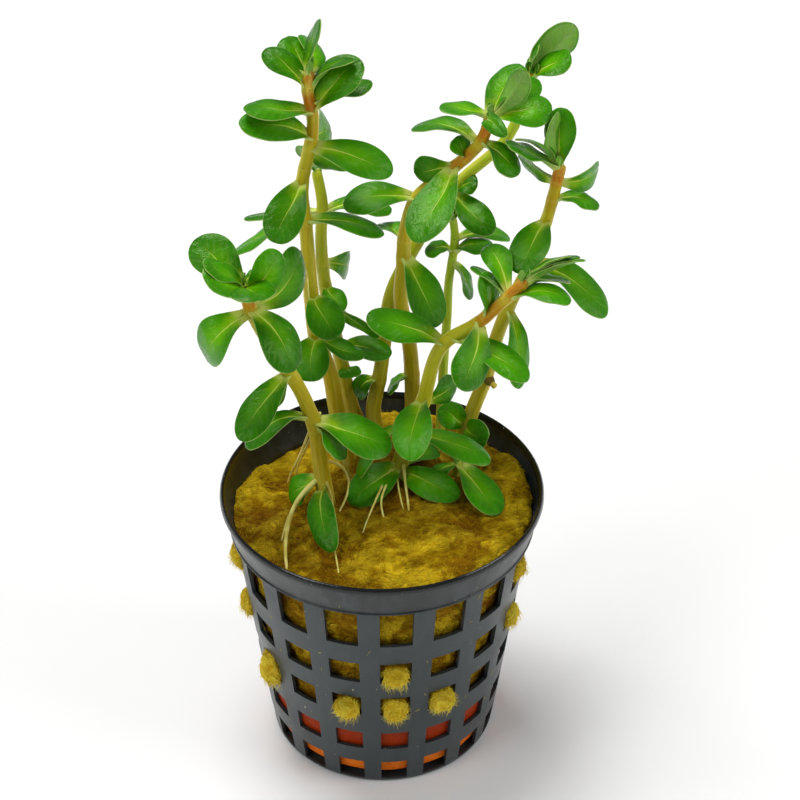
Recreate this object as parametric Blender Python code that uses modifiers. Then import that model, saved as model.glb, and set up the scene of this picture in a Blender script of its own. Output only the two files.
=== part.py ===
"""Potted Indian toothcup: eight leafy stems rooted in stone wool in a small net pot.

The pot stands on its base with the origin at the base centre. +Z is up and the
plant's front faces -Y. Sizes are in millimetres, and MM turns them into metres.
A compass angle is measured in degrees from +X towards +Y, so the front is -90.
"""
import math

import bmesh
import bpy
from mathutils import Matrix, Vector

MM = 0.001
GAP = 0.3                    # clear space kept between two pieces that touch

# Net pot
POT_HEIGHT = 46.4
RIM_RADIUS = 25.0
LIP_HEIGHT = 1.0
LIP_STEP = 0.4
BAND_HEIGHT = 6.2            # solid band under the rim
BAND_STEP = 0.5              # the band stands this proud of the latticed wall
WALL_TOP_RADIUS = 23.1
BASE_RADIUS = 18.2
BASE_CHAMFER = 0.9
WALL = 1.0
COLUMNS = 17                 # columns of windows round the wall
FIRST_COLUMN = -84.8         # compass angle of the column nearest the front
WINDOW_ANGLE = 12.8
WINDOW_ROWS = ((0.9, 5.2), (8.5, 12.4), (16.7, 20.9), (24.5, 28.8), (32.8, 40.1))
FLOOR_SLOT = (8.0, 14.5)     # inner and outer radius of the slots in the floor
FLOOR_HUB = 5.0              # radius of the plain disc in the floor's middle

# Clay weight in the bottom of the pot
WEIGHT_HEIGHT = 12.0
WEIGHT_ROUNDING = 1.5

# Stone wool
WOOL_BOTTOM = 13.8
WOOL_TOP = 43.6              # mean height of its torn top
WOOL_EDGE = 1.2              # height of the rounded edge of the top
WOOL_SLOPE = 0.05            # rise of the top towards +X
WOOL_LUMPS = 0.5
HOLLOWS = (                  # where the top sinks: x, y, depth, reach
    (-13.0, 14.0, 3.0, 9.5), (15.0, 14.0, 1.6, 6.5))
TUFT = (3.2, 1.9, 1.6)       # half sizes of a tuft: outwards, sideways, upwards
TUFTS = (                    # window row from the bottom, column from the front one
    (2, 0), (2, 1), (2, -1), (3, 0), (2, -3), (3, -4), (4, -4), (4, -5), (3, 3), (4, 3),
    (3, 7),
)

# Stems and leaves
ROOT_HEIGHT = 34.0           # the stems are planted down to this height
STEM_SIDES = 1               # bevel resolution of the round section
STEM_STEP = 8.5              # mean distance between the rings of a stem
LEAF_THICKNESS = 0.45
LEAF_WIDEST = 0.64           # place of the widest part, as a share of the length
LEAF_FOOT = 0.22             # width at the foot, as a share of the full width
LEAF_CUP = 0.12              # rise of the leaf's edge, as a share of its half width

# One stem: radius at the wool and at the tip, then its course from the wool up.
STEMS = {
    "front_left": (1.35, 1.0, (
        (-8.5, 0.0, 43.0), (-9.0, -0.5, 47.0), (-9.5, -0.5, 52.5), (-10.0, -0.5, 58.0),
        (-12.0, -0.5, 64.5), (-13.5, -1.0, 68.0), (-16.0, -2.0, 73.5), (-18.5, -2.5, 79.5),
        (-19.5, -3.0, 84.5))),
    "tall_left": (1.45, 0.9, (
        (-5.5, 11.5, 43.0), (-7.0, 12.0, 51.5), (-8.0, 12.0, 59.5), (-10.0, 12.0, 65.5),
        (-10.5, 12.0, 74.0), (-11.0, 12.0, 86.0), (-11.5, 12.0, 91.5), (-10.5, 12.0, 96.5),
        (-9.5, 12.0, 101.0), (-9.5, 12.0, 104.5), (-10.5, 12.0, 108.0), (-9.5, 12.0, 110.5))),
    "back_left": (1.35, 0.9, (
        (-3.0, 16.0, 43.0), (-5.0, 16.0, 50.5), (-6.0, 16.5, 56.5), (-8.5, 17.0, 71.5),
        (-9.0, 18.0, 81.0), (-8.5, 18.0, 85.0), (-9.5, 19.0, 91.0))),
    "middle": (1.35, 0.95, (
        (5.0, 17.0, 43.0), (5.0, 17.5, 50.5), (4.5, 16.5, 61.0), (3.0, 15.5, 70.0),
        (3.5, 15.0, 77.0), (3.5, 15.0, 81.0), (5.0, 15.0, 88.0), (7.5, 15.0, 90.5),
        (11.0, 15.0, 93.5), (14.5, 14.0, 97.5), (15.5, 14.0, 100.0), (16.0, 14.0, 102.5))),
    "back_right": (1.3, 0.85, (
        (0.0, 14.0, 43.0), (-1.5, 15.0, 49.0), (-0.5, 15.5, 54.0), (0.5, 16.5, 61.0),
        (1.5, 18.0, 69.5), (5.0, 19.5, 76.5), (9.0, 20.5, 83.5), (13.0, 21.5, 88.5),
        (16.5, 22.5, 91.0), (20.0, 23.5, 95.0), (22.5, 25.0, 103.5))),
    "right": (1.3, 0.95, (
        (12.5, 13.5, 43.0), (15.0, 14.0, 52.0), (16.5, 14.0, 56.5), (17.5, 14.0, 62.5),
        (19.5, 14.0, 69.5), (22.5, 14.0, 77.0), (24.5, 14.0, 84.0), (25.5, 14.0, 88.5),
        (26.0, 14.0, 92.0), (26.5, 14.0, 94.5))),
    "front_right": (1.35, 0.95, (
        (2.5, 6.5, 43.0), (4.0, 6.0, 50.5), (6.5, 5.0, 58.5), (7.0, 4.5, 62.0),
        (9.0, 4.0, 69.5), (14.5, 3.0, 74.0), (17.5, 2.0, 78.0), (21.0, 1.0, 82.5))),
    "thin_pale": (0.85, 0.7, (
        (9.5, 18.5, 43.0), (10.0, 19.0, 57.5), (10.5, 20.0, 65.0), (10.5, 20.0, 70.0),
        (11.5, 20.0, 78.0), (11.0, 20.0, 82.0))),
    "low_shoot": (0.9, 0.7, (
        (11.5, 5.5, 43.0), (12.0, 5.0, 47.0))),
}

# Leaves of each stem, in opposite pairs where both are open:
# height on the stem, compass, rise, length, width, arch, roll.
# Compass, rise and length are those of the line from the stem's middle to the
# leaf's tip, the arch is how far the blade bows above that line, and the roll
# turns the blade about it.
LEAVES = {
    "front_left": (
        (46.0, -85, -5, 13.5, 4.8, 2.0, 30), (48.0, -175, -35, 6.5, 4.8, 0.6, -20),
        (59.5, -155, -10, 11.0, 5.2, 1.8, 10), (58.5, -20, -10, 12.5, 6.8, 1.2, 10),
        (68.0, -125, -20, 13.0, 5.6, 0.6, -5), (79.5, -165, -45, 10.0, 6.6, 3.2, -30),
        (80.0, -50, -30, 11.0, 6.8, 1.6, 0), (80.5, 45, 25, 11.5, 6.8, 1.8, 85),
        (83.0, -72, 16, 7.0, 6.6, 0.2, 1)),
    "tall_left": (
        (65.5, -95, -10, 9.5, 6.0, 1.2, -5), (73.0, -65, -20, 8.5, 5.8, 1.4, 5),
        (86.0, -15, 0, 12.0, 5.2, 1.0, 0), (86.0, -170, -20, 12.0, 5.4, 0.4, 10),
        (92.5, -110, -20, 11.5, 5.8, 0.8, -15), (98.5, -15, -10, 12.5, 5.6, 1.4, 30),
        (100.0, -145, 25, 13.0, 5.8, 1.4, -30), (104.0, -145, 20, 11.5, 5.0, 0.2, -15)),
    "back_left": (
        (60.5, -30, 10, 9.5, 5.0, 0.8, 10), (69.5, -25, -30, 10.0, 3.6, 0.2, 115),
        (84.0, 175, -5, 12.0, 4.8, 0.2, 10), (84.0, 5, 0, 10.5, 5.2, 1.0, 0)),
    "middle": (
        (78.0, -60, -35, 12.0, 6.8, 0.4, -10), (88.0, -165, 5, 11.0, 6.0, 0.8, -15),
        (93.5, 180, -5, 6.5, 5.0, 0.3, -20), (93.5, -115, -20, 14.5, 6.8, 0.2, 5),
        (97.5, 155, 5, 10.5, 5.2, 1.2, 0), (98.0, -40, -25, 7.5, 5.0, 0.8, -5)),
    "back_right": (
        (86.0, -55, -15, 10.0, 5.2, 0.2, 5),),
    "right": (
        (69.0, -80, -40, 12.5, 5.4, 0.8, -35), (77.5, -25, -25, 14.0, 6.4, 1.4, 10),
        (84.5, -115, -15, 11.0, 6.0, 1.2, 0), (88.5, -5, -5, 7.0, 4.2, 0.6, 0)),
    "front_right": (
        (45.0, -130, 0, 11.5, 5.4, 0.8, 0), (44.5, -45, 0, 11.5, 5.2, 0.8, 0),
        (52.0, -25, -5, 13.5, 5.6, 1.0, 5), (53.0, -150, -30, 11.5, 5.8, 1.8, 25),
        (58.5, -100, -5, 13.0, 6.2, 1.0, 15), (69.5, -170, 30, 13.0, 5.8, 0.8, -25),
        (74.0, -100, -30, 12.0, 5.7, 0.8, 0), (79.5, -25, 10, 9.5, 4.6, 1.2, 5),
        (71.0, -35, -20, 13.0, 5.2, 0.8, 0)),
    "thin_pale": (),
    "low_shoot": (
        (46.0, -65, 0, 13.5, 6.2, 0.8, 0),),
}

# The young leaves at the tips, the small ones and those behind the others, which
# are one piece with their stem. The columns are the same.
SMALL_LEAVES = {
    "front_left": (
        (57.5, -50, -15, 7.0, 4.8, 0.8, -20), (67.0, 150, -65, 7.0, 5.0, 0.8, 0),
        (84.5, -136, 42, 8.5, 5.6, 0.8, -27), (84.0, 13, 47, 7.5, 5.0, 1.8, 88),
        (84.0, 145, 30, 10.0, 6.4, 0.6, -30)),
    "tall_left": (
        (65.0, -35, 0, 8.5, 4.4, 0.2, 0), (95.0, 95, -15, 6.5, 4.6, 1.2, 50),
        (97.5, 19, -35, 7.5, 5.2, 0.4, 128), (100.0, 65, -15, 6.5, 6.4, 0.2, 75),
        (105.0, 20, 15, 9.5, 4.8, 0.2, -5), (109.5, 120, 35, 7.0, 5.4, 0.4, 0),
        (110.0, 95, 30, 6.5, 5.0, 0.6, 50), (110.0, -15, 80, 8.5, 4.4, 0.2, 25),
        (104.5, 10, 45, 10.0, 6.4, 1.0, 35), (108.0, 170, 40, 8.0, 4.0, 1.4, -30)),
    "back_left": (
        (56.5, -60, 10, 3.5, 4.0, 0.6, 0), (71.5, -65, -10, 6.0, 3.8, 0.8, 0),
        (75.5, 60, -30, 9.0, 4.6, 1.2, 80)),
    "middle": (
        (55.0, -150, -25, 5.0, 4.0, 0.4, 25), (81.0, 130, 5, 5.5, 4.0, 0.6, 0),
        (95.0, 135, 45, 4.0, 4.0, 0.5, 0), (101.0, -75, 15, 8.0, 2.6, 2.0, 35),
        (102.0, 180, 15, 7.5, 4.6, 0.2, 5), (102.0, 35, 20, 9.5, 4.4, 0.6, 30),
        (102.0, 5, 10, 9.0, 6.4, 0.6, 30), (102.5, -25, 55, 9.5, 4.2, 0.6, -105),
        (102.0, 50, 40, 9.0, 5.8, 1.0, -10)),
    "back_right": (
        (55.0, -160, -26, 4.0, 4.4, 0.8, -5), (86.5, -20, 25, 4.0, 4.0, 0.4, 30),
        (103.0, 30, 40, 10.0, 6.6, 0.4, -90), (103.0, -10, 35, 7.0, 5.2, 0.2, 15),
        (103.0, 60, 65, 5.0, 2.6, 0.2, -40)),
    "right": (
        (47.5, -62, 10, 6.5, 5.2, 1.0, 60), (47.5, 180, 35, 5.5, 4.4, 1.4, -65),
        (91.5, 35, 0, 8.0, 4.4, 1.6, 100), (93.5, -160, 35, 10.5, 4.6, 0.2, -5),
        (94.0, 150, 70, 7.0, 3.4, 0.3, 0), (94.0, -145, 80, 9.5, 3.6, 0.4, 105),
        (94.0, 105, 85, 9.0, 4.8, 0.6, 0)),
    "front_right": (
        (44.5, 35, 5, 7.5, 5.0, 0.8, 0), (58.5, 25, 20, 6.0, 4.6, 0.8, 90),
        (75.0, 105, 85, 7.5, 4.6, 1.0, 70), (79.0, 145, 30, 7.0, 4.2, 0.4, 25),
        (79.5, 110, 25, 9.5, 4.2, 1.4, -19), (82.0, 10, 20, 9.5, 4.0, 0.4, -40),
        (82.0, 5, 35, 8.0, 3.8, 0.2, -40), (82.0, 23, -11, 7.5, 4.0, 0.4, -18)),
    "thin_pale": (
        (74.0, -50, -45, 6.5, 4.6, 0.6, -35), (76.0, -20, 20, 6.5, 4.4, 0.8, 0),
        (76.0, -170, 5, 4.5, 4.0, 0.8, 0), (78.0, 15, -5, 9.0, 4.2, 1.0, 0)),
    "low_shoot": (
        (46.0, -140, 0, 5.5, 3.0, 0.6, 0), (46.0, 60, 32, 5.0, 4.0, 0.4, 0)),
}

COLOURS = {                  # colour, roughness
    "pot": ((0.045, 0.050, 0.058), 0.45),
    "wool": ((0.40, 0.27, 0.04), 0.95),
    "clay": ((0.55, 0.13, 0.02), 0.55),
    "stem": ((0.36, 0.27, 0.05), 0.50),
    "leaf": ((0.07, 0.24, 0.03), 0.35),
}


def compass(angle, radius=1.0, height=0.0):
    """A point or direction at a compass angle in degrees."""
    turn = math.radians(angle)
    return Vector((radius * math.cos(turn), radius * math.sin(turn), height))


def material(name):
    """A plain finish with the piece's colour and roughness."""
    colour, roughness = COLOURS[name]
    finish = bpy.data.materials.new(name)
    finish.use_nodes = True
    shader = finish.node_tree.nodes["Principled BSDF"]
    shader.inputs["Base Color"].default_value = (*colour, 1.0)
    shader.inputs["Roughness"].default_value = roughness
    shader.inputs["Metallic"].default_value = 0.0
    return finish


def new_object(name, mesh, collection, finish=None):
    """Put a mesh into the scene, with its finish where it is a real piece."""
    piece = bpy.data.objects.new(name, mesh)
    if finish is not None:
        mesh.materials.append(finish)
    collection.objects.link(piece)
    return piece


def mesh_from(cage, name):
    """Turn an edited cage into a mesh in metres."""
    bmesh.ops.scale(cage, vec=(MM, MM, MM), verts=cage.verts)
    mesh = bpy.data.meshes.new(name)
    cage.to_mesh(mesh)
    cage.free()
    return mesh


def boolean(piece, operation, operand):
    """Add an exact Boolean with one object, or with every object of a collection."""
    modifier = piece.modifiers.new(operation.title(), "BOOLEAN")
    modifier.solver = "EXACT"
    modifier.operation = operation
    if isinstance(operand, bpy.types.Collection):
        modifier.operand_type = "COLLECTION"
        modifier.collection = operand
    else:
        modifier.object = operand


def as_guide(tool):
    """Show a cutter or an operand as a wire guide only."""
    tool.hide_render = True
    tool.display_type = "WIRE"
    return tool


def skin_radius(height):
    """Outer radius of the pot at a height: latticed wall, band and lip."""
    band_bottom = POT_HEIGHT - BAND_HEIGHT
    outline = (
        (0.0, BASE_RADIUS), (band_bottom, WALL_TOP_RADIUS),
        (band_bottom + BAND_STEP, WALL_TOP_RADIUS + BAND_STEP),
        (POT_HEIGHT - 2 * LIP_HEIGHT, RIM_RADIUS - LIP_STEP),
        (POT_HEIGHT - LIP_HEIGHT, RIM_RADIUS), (POT_HEIGHT, RIM_RADIUS))
    for (low, low_radius), (high, high_radius) in zip(outline, outline[1:]):
        if height <= high:
            return low_radius + (high_radius - low_radius) * (height - low) / (high - low)
    return RIM_RADIUS


def turned(profile, spans):
    """Sweep a profile of (radius, height) points round +Z over a list of angles."""
    cage = bmesh.new()
    points = [cage.verts.new((radius, 0.0, height)) for radius, height in profile]
    swept = [cage.edges.new(pair) for pair in zip(points, points[1:])]
    for span in spans:
        step = bmesh.ops.spin(cage, geom=swept, cent=(0, 0, 0), axis=(0, 0, 1),
                              angle=math.radians(span), steps=1)
        swept = [item for item in step["geom_last"] if isinstance(item, bmesh.types.BMEdge)]
    bmesh.ops.remove_doubles(cage, verts=cage.verts, dist=0.001)
    return cage


def inside_window(centre):
    """True for a wall or floor face that the lattice leaves open."""
    step = 360.0 / COLUMNS
    angle = math.degrees(math.atan2(centre.y, centre.x)) - FIRST_COLUMN
    column = round(angle / step)
    if abs(angle - column * step) > WINDOW_ANGLE / 2:
        return False
    if centre.z < BASE_CHAMFER / 4:
        inner, outer = FLOOR_SLOT
        return column % 2 == 0 and inner < centre.xy.length < outer
    return any(low < centre.z < high for low, high in WINDOW_ROWS)


def make_net_pot(collection):
    """One lattice skin, turned and opened, then thickened inwards."""
    band_bottom = POT_HEIGHT - BAND_HEIGHT
    profile = [(radius, 0.0) for radius in (FLOOR_HUB, *FLOOR_SLOT, BASE_RADIUS - BASE_CHAMFER)]
    heights = [height for row in WINDOW_ROWS for height in row]
    heights += [band_bottom + BAND_STEP, POT_HEIGHT - 2 * LIP_HEIGHT,
                POT_HEIGHT - LIP_HEIGHT, POT_HEIGHT]
    profile += [(skin_radius(height), height) for height in heights]
    rib_angle = 360.0 / COLUMNS - WINDOW_ANGLE
    cage = turned(profile, [WINDOW_ANGLE, rib_angle] * COLUMNS)
    bmesh.ops.rotate(cage, verts=cage.verts,
                     matrix=Matrix.Rotation(math.radians(FIRST_COLUMN - WINDOW_ANGLE / 2), 3, "Z"))
    windows = [face for face in cage.faces if inside_window(face.calc_center_median())]
    bmesh.ops.delete(cage, geom=windows, context="FACES")
    hub_ring = [edge for edge in cage.edges if edge.is_boundary
                and all(vertex.co.xy.length < FLOOR_HUB + 0.01 for vertex in edge.verts)]
    bmesh.ops.contextual_create(cage, geom=hub_ring)
    bmesh.ops.recalc_face_normals(cage, faces=cage.faces)
    pot = new_object("net_pot", mesh_from(cage, "net_pot"), collection, material("pot"))
    skin = pot.modifiers.new("Wall", "SOLIDIFY")
    skin.thickness = WALL * MM
    skin.offset = -1.0
    skin.use_even_offset = True
    return pot


def make_clay_weight(collection):
    """A round puck that fills the bottom of the pot, with eased edges."""
    low = WALL + GAP
    high = low + WEIGHT_HEIGHT
    radius_low = skin_radius(low + WEIGHT_ROUNDING) - WALL - 2 * GAP
    radius_high = skin_radius(high) - WALL - 2 * GAP
    ease = WEIGHT_ROUNDING
    profile = [(0.0, high), (radius_high - ease, high), (radius_high, high - ease),
               (radius_low, low + ease), (radius_low - ease, low), (0.0, low)]
    cage = turned(profile, [20.0] * 18)
    bmesh.ops.recalc_face_normals(cage, faces=cage.faces)
    return new_object("clay_weight", mesh_from(cage, "clay_weight"), collection, material("clay"))


def wool_top(x, y):
    """Height of the wool's torn top: it rises to the right and has two hollows."""
    lumps = math.sin(0.55 * x + 0.3 * y) * math.cos(0.5 * y - 0.2 * x)
    height = WOOL_TOP + WOOL_SLOPE * x + WOOL_LUMPS * lumps
    for centre_x, centre_y, depth, reach in HOLLOWS:
        away = math.hypot(x - centre_x, y - centre_y) / reach
        height -= depth * math.exp(-away ** 2)
    return height


def make_tuft(row, column, collection):
    """A tuft of wool that bulges out through one window."""
    low, high = WINDOW_ROWS[row]
    middle = (low + high) / 2
    angle = FIRST_COLUMN + column * 360.0 / COLUMNS
    cage = bmesh.new()
    bmesh.ops.create_uvsphere(cage, u_segments=6, v_segments=4, radius=1.0)
    bmesh.ops.scale(cage, vec=TUFT, verts=cage.verts)
    bmesh.ops.rotate(cage, verts=cage.verts, matrix=Matrix.Rotation(math.radians(angle), 3, "Z"))
    bmesh.ops.translate(cage, verts=cage.verts,
                        vec=compass(angle, skin_radius(middle) - WALL, middle))
    return as_guide(new_object(f"tuft_{row}_{column}", mesh_from(cage, "tuft"), collection))


def make_stone_wool(collection, tufts, planting):
    """The block of wool: a turned body with a lumpy top, tufts and planting holes."""
    fit = WALL + 2 * GAP
    edge = skin_radius(WOOL_TOP) - WALL - GAP
    profile = [(0.0, WOOL_TOP), (7.0, WOOL_TOP), (14.0, WOOL_TOP),
               (edge - 0.8, WOOL_TOP), (edge, WOOL_TOP - WOOL_EDGE)]
    for height in (POT_HEIGHT - BAND_HEIGHT - 1.0, 22.0, WOOL_BOTTOM):
        profile.append((skin_radius(height) - fit, height))
    profile.append((0.0, WOOL_BOTTOM))
    cage = turned(profile, [20.0] * 18)
    for vertex in cage.verts:
        if vertex.co.z > WOOL_TOP - 2 * WOOL_EDGE:
            x, y, z = vertex.co
            vertex.co.z = wool_top(x, y) + z - WOOL_TOP
            room = skin_radius(vertex.co.z) - fit
            if vertex.co.xy.length > room:
                vertex.co.xy *= room / vertex.co.xy.length
    bmesh.ops.recalc_face_normals(cage, faces=cage.faces)
    wool = new_object("stone_wool", mesh_from(cage, "stone_wool"), collection, material("wool"))
    for row, column in TUFTS:
        make_tuft(row, column, tufts)
    boolean(wool, "UNION", tufts)
    boolean(wool, "DIFFERENCE", planting)
    return wool


def smooth_course(points, count):
    """Evenly spaced points on the smooth curve through a stem's own points."""
    knots = [Vector(point) for point in points]
    knots = [2 * knots[0] - knots[1]] + knots + [2 * knots[-1] - knots[-2]]
    curve = []
    for before, start, end, after in zip(knots, knots[1:], knots[2:], knots[3:]):
        for step in range(20):
            t = step / 20
            curve.append(0.5 * ((2 * start) + (end - before) * t
                                + (2 * before - 5 * start + 4 * end - after) * t ** 2
                                + (3 * start - before - 3 * end + after) * t ** 3))
    curve.append(knots[-2])
    reach = [0.0]
    for start, end in zip(curve, curve[1:]):
        reach.append(reach[-1] + (end - start).length)
    course = []
    index = 0
    for step in range(count):
        target = reach[-1] * step / (count - 1)
        while index < len(reach) - 2 and reach[index + 1] < target:
            index += 1
        share = (target - reach[index]) / (reach[index + 1] - reach[index])
        course.append(curve[index].lerp(curve[index + 1], min(share, 1.0)))
    return course


def stem_course(stem):
    """The middle of a stem, ring by ring, from its foot in the wool to its tip."""
    points = STEMS[stem][2]
    x, y, _ = points[0]
    route = [Vector((0.9 * x, 0.9 * y, ROOT_HEIGHT))] + [Vector(point) for point in points]
    length = sum((end - start).length for start, end in zip(route, route[1:]))
    return smooth_course(route, max(3, round(length / STEM_STEP) + 1))


def tube(name, course, radii, collection, finish=None):
    """A round tube through the points of a course, as a closed mesh."""
    curve = bpy.data.curves.new(name, "CURVE")
    curve.dimensions = "3D"
    curve.bevel_depth = MM
    curve.bevel_resolution = STEM_SIDES
    curve.use_fill_caps = True
    spline = curve.splines.new("POLY")
    spline.points.add(len(course) - 1)
    for point, spot, radius in zip(spline.points, course, radii):
        point.co = (*(spot * MM), 1.0)
        point.radius = radius
    guide = bpy.data.objects.new(name, curve)
    collection.objects.link(guide)
    depsgraph = bpy.context.evaluated_depsgraph_get()
    mesh = bpy.data.meshes.new_from_object(guide.evaluated_get(depsgraph))
    bpy.data.objects.remove(guide)
    cage = bmesh.new()
    cage.from_mesh(mesh)
    bmesh.ops.remove_doubles(cage, verts=cage.verts, dist=0.00001)
    bmesh.ops.recalc_face_normals(cage, faces=cage.faces)
    cage.to_mesh(mesh)
    cage.free()
    mesh.shade_smooth()
    return new_object(name, mesh, collection, finish)


def stem_radii(stem, rings):
    """Radius of each ring of a stem: it thins evenly from foot to tip."""
    foot_radius, tip_radius, _ = STEMS[stem]
    return [foot_radius + (tip_radius - foot_radius) * ring / (rings - 1)
            for ring in range(rings)]


def spot_on_stem(stem, height):
    """Middle, radius and growing direction of a stem at a height above the ground."""
    course = stem_course(stem)
    radii = stem_radii(stem, len(course))
    ring = 1
    while ring < len(course) - 1 and course[ring].z < height:
        ring += 1
    below, above = course[ring - 1], course[ring]
    share = min(1.0, (height - below.z) / (above.z - below.z))
    radius = radii[ring - 1] + (radii[ring] - radii[ring - 1]) * share
    return below.lerp(above, share), radius, (above - below).normalized()


def leaf_half_width(share):
    """Half width along a spoon-shaped leaf of full width 1."""
    if share < LEAF_WIDEST:
        swell = math.sin(0.5 * math.pi * share / LEAF_WIDEST) ** 1.4
        return 0.5 * (LEAF_FOOT + (1 - LEAF_FOOT) * swell)
    past = (share - LEAF_WIDEST) / (1 - LEAF_WIDEST)
    return 0.5 * math.sqrt(max(0.0, 1 - past ** 2))


def make_leaf(name, stem, row, collection, cells, clearance, finish=None):
    """One leaf: a grid shaped into a bowed spoon, thickened, and set on its stem."""
    height, heading, rise, length, width, arch, roll = row
    middle, radius, growth = spot_on_stem(stem, height)
    reach = compass(heading, math.cos(math.radians(rise)), math.sin(math.radians(rise)))
    outwards = (reach - reach.dot(growth) * growth).normalized()
    foot = middle + outwards * (radius + clearance)
    along = middle + reach * length - foot
    blade_length = along.length
    along.normalize()

    cage = bmesh.new()
    bmesh.ops.create_grid(cage, x_segments=cells[0], y_segments=cells[1], size=0.5)
    for vertex in cage.verts:
        share = math.sin(0.5 * math.pi * (vertex.co.x + 0.5))
        across = 2 * vertex.co.y
        half_width = width * leaf_half_width(share)
        vertex.co.x = blade_length * share
        vertex.co.y = half_width * across
        vertex.co.z = 4 * arch * share * (1 - share) + LEAF_CUP * half_width * across ** 2
    bmesh.ops.remove_doubles(cage, verts=cage.verts, dist=0.05)
    leaf = new_object(name, mesh_from(cage, name), collection, finish)
    blade = leaf.modifiers.new("Blade", "SOLIDIFY")
    blade.thickness = LEAF_THICKNESS * MM
    blade.offset = 0.0

    face = (Vector((0, 0, 1)) - along.z * along).normalized()
    face = Matrix.Rotation(math.radians(roll), 3, along) @ face
    turn = Matrix((along, face.cross(along), face)).transposed()
    leaf.rotation_euler = turn.to_euler()
    leaf.location = foot * MM
    return leaf


def make_planting_hole(stem, course, radii, collection):
    """A cutter that keeps the wool clear of a stem: the stem's own foot, grown by the gap."""
    foot = [spot for spot in course if spot.z < WOOL_TOP + 3 * STEM_STEP]
    below = course[0] + (course[0] - course[1]).normalized() * GAP
    grown = [radii[0] + GAP] + [radius + GAP for radius in radii]
    as_guide(tube(f"{stem}_hole", [below] + foot, grown, collection))


def make_plant(parts, planting, shaping):
    """Every stem with its small leaves, then the open leaves as pieces of their own."""
    stem_finish = material("stem")
    leaf_finish = material("leaf")
    for stem in STEMS:
        course = stem_course(stem)
        radii = stem_radii(stem, len(course))
        piece = tube(f"{stem}_stem", course, radii, parts, stem_finish)
        small = new_collection(f"{stem}_small_leaves", shaping)
        for number, row in enumerate(SMALL_LEAVES[stem], 1):
            as_guide(make_leaf(f"{stem}_small_leaf_{number}", stem, row, small, (4, 1), -0.6))
        boolean(piece, "UNION", small)
        for number, row in enumerate(LEAVES[stem], 1):
            make_leaf(f"{stem}_leaf_{number}", stem, row, parts, (5, 2), GAP, leaf_finish)
        make_planting_hole(stem, course, radii, planting)


def new_collection(name, parent):
    """A collection inside another."""
    collection = bpy.data.collections.new(name)
    parent.children.link(collection)
    return collection


def main():
    for old in list(bpy.data.objects):
        bpy.data.objects.remove(old)
    scene_root = bpy.context.scene.collection
    parts = new_collection("potted_indian_toothcup", scene_root)
    shaping = new_collection("cutters", scene_root)
    tufts = new_collection("wool_tufts", shaping)
    planting = new_collection("planting_holes", shaping)
    make_net_pot(parts)
    make_clay_weight(parts)
    make_plant(parts, planting, shaping)
    make_stone_wool(parts, tufts, planting)


main()
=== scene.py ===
# %% [markdown]
# # A potted Indian toothcup
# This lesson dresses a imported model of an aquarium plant: leafy stems that are rooted in
# stone wool, in a small net pot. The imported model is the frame. It says where everything
# is and how big it is, and the cells below give each piece its fine form and its finish.
# The model is in metres. The lesson works in millimetres, which suit so small a plant, and
# turns them into metres when a mesh is made.

import math
import random

import bpy
import numpy as np
from mathutils import Matrix, Vector, noise


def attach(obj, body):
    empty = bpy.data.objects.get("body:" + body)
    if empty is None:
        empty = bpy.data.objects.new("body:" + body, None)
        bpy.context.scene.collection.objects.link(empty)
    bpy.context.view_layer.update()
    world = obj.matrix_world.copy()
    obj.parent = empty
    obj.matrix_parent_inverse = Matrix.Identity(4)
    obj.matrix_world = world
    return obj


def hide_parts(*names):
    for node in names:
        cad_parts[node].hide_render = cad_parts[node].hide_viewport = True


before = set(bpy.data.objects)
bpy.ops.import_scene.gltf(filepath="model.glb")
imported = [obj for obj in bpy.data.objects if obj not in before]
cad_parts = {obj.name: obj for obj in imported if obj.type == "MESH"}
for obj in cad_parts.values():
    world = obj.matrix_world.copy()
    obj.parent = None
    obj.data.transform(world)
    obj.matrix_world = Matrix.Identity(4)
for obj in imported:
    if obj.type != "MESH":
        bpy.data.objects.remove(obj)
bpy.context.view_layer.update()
BODY = "root"
MM = 0.001

# %% [markdown]
# ## The stage
# The photograph looks down on the pot from the front, through a long lens about a third
# of a metre away. A camera that is placed first makes every later piece easy to judge. The
# place and the aim below come from a small fitting program, which matched the pot's rim,
# band and base to points that were read off the photograph.

# %% The camera
CAMERA_PLACE = (0.0, -242.98, 236.14)
CAMERA_AIM = (2.79, 0.0, 62.24)
CAMERA_LENS = 90.0
FRAME_WIDTH = 36.0


def make_camera():
    """A camera at its place, turned to look at its aim."""
    lens = bpy.data.cameras.new("camera")
    lens.lens = CAMERA_LENS
    lens.sensor_width = FRAME_WIDTH
    lens.clip_start = 0.01
    camera = bpy.data.objects.new("camera", lens)
    place = Vector(CAMERA_PLACE) * MM
    camera.location = place
    sight = Vector(CAMERA_AIM) * MM - place
    camera.rotation_euler = sight.to_track_quat("-Z", "Y").to_euler()
    bpy.context.scene.collection.objects.link(camera)
    bpy.context.scene.camera = camera
    return camera


camera = make_camera()
print("camera looks down", round(90 - math.degrees(camera.rotation_euler.x), 1), "degrees")

# %% [markdown]
# The light is that of a small product studio: a white room that lights everything from all
# sides, a large soft lamp overhead that gives the leaves their broad sheen, and two weaker
# ones from the front that keep the shadows open.

# %% The light
LAMPS = {                    # place, aim, width, power in watts
    "overhead_lamp": ((-200, 250, 1100), (0, 0, 60), 520, 9.4),
    "left_lamp": ((-1000, -700, 900), (0, 0, 50), 700, 6.1),
    "right_lamp": ((1100, -300, 650), (0, 0, 60), 600, 5.4),
}
ROOM_BRIGHTNESS = 0.24


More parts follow.
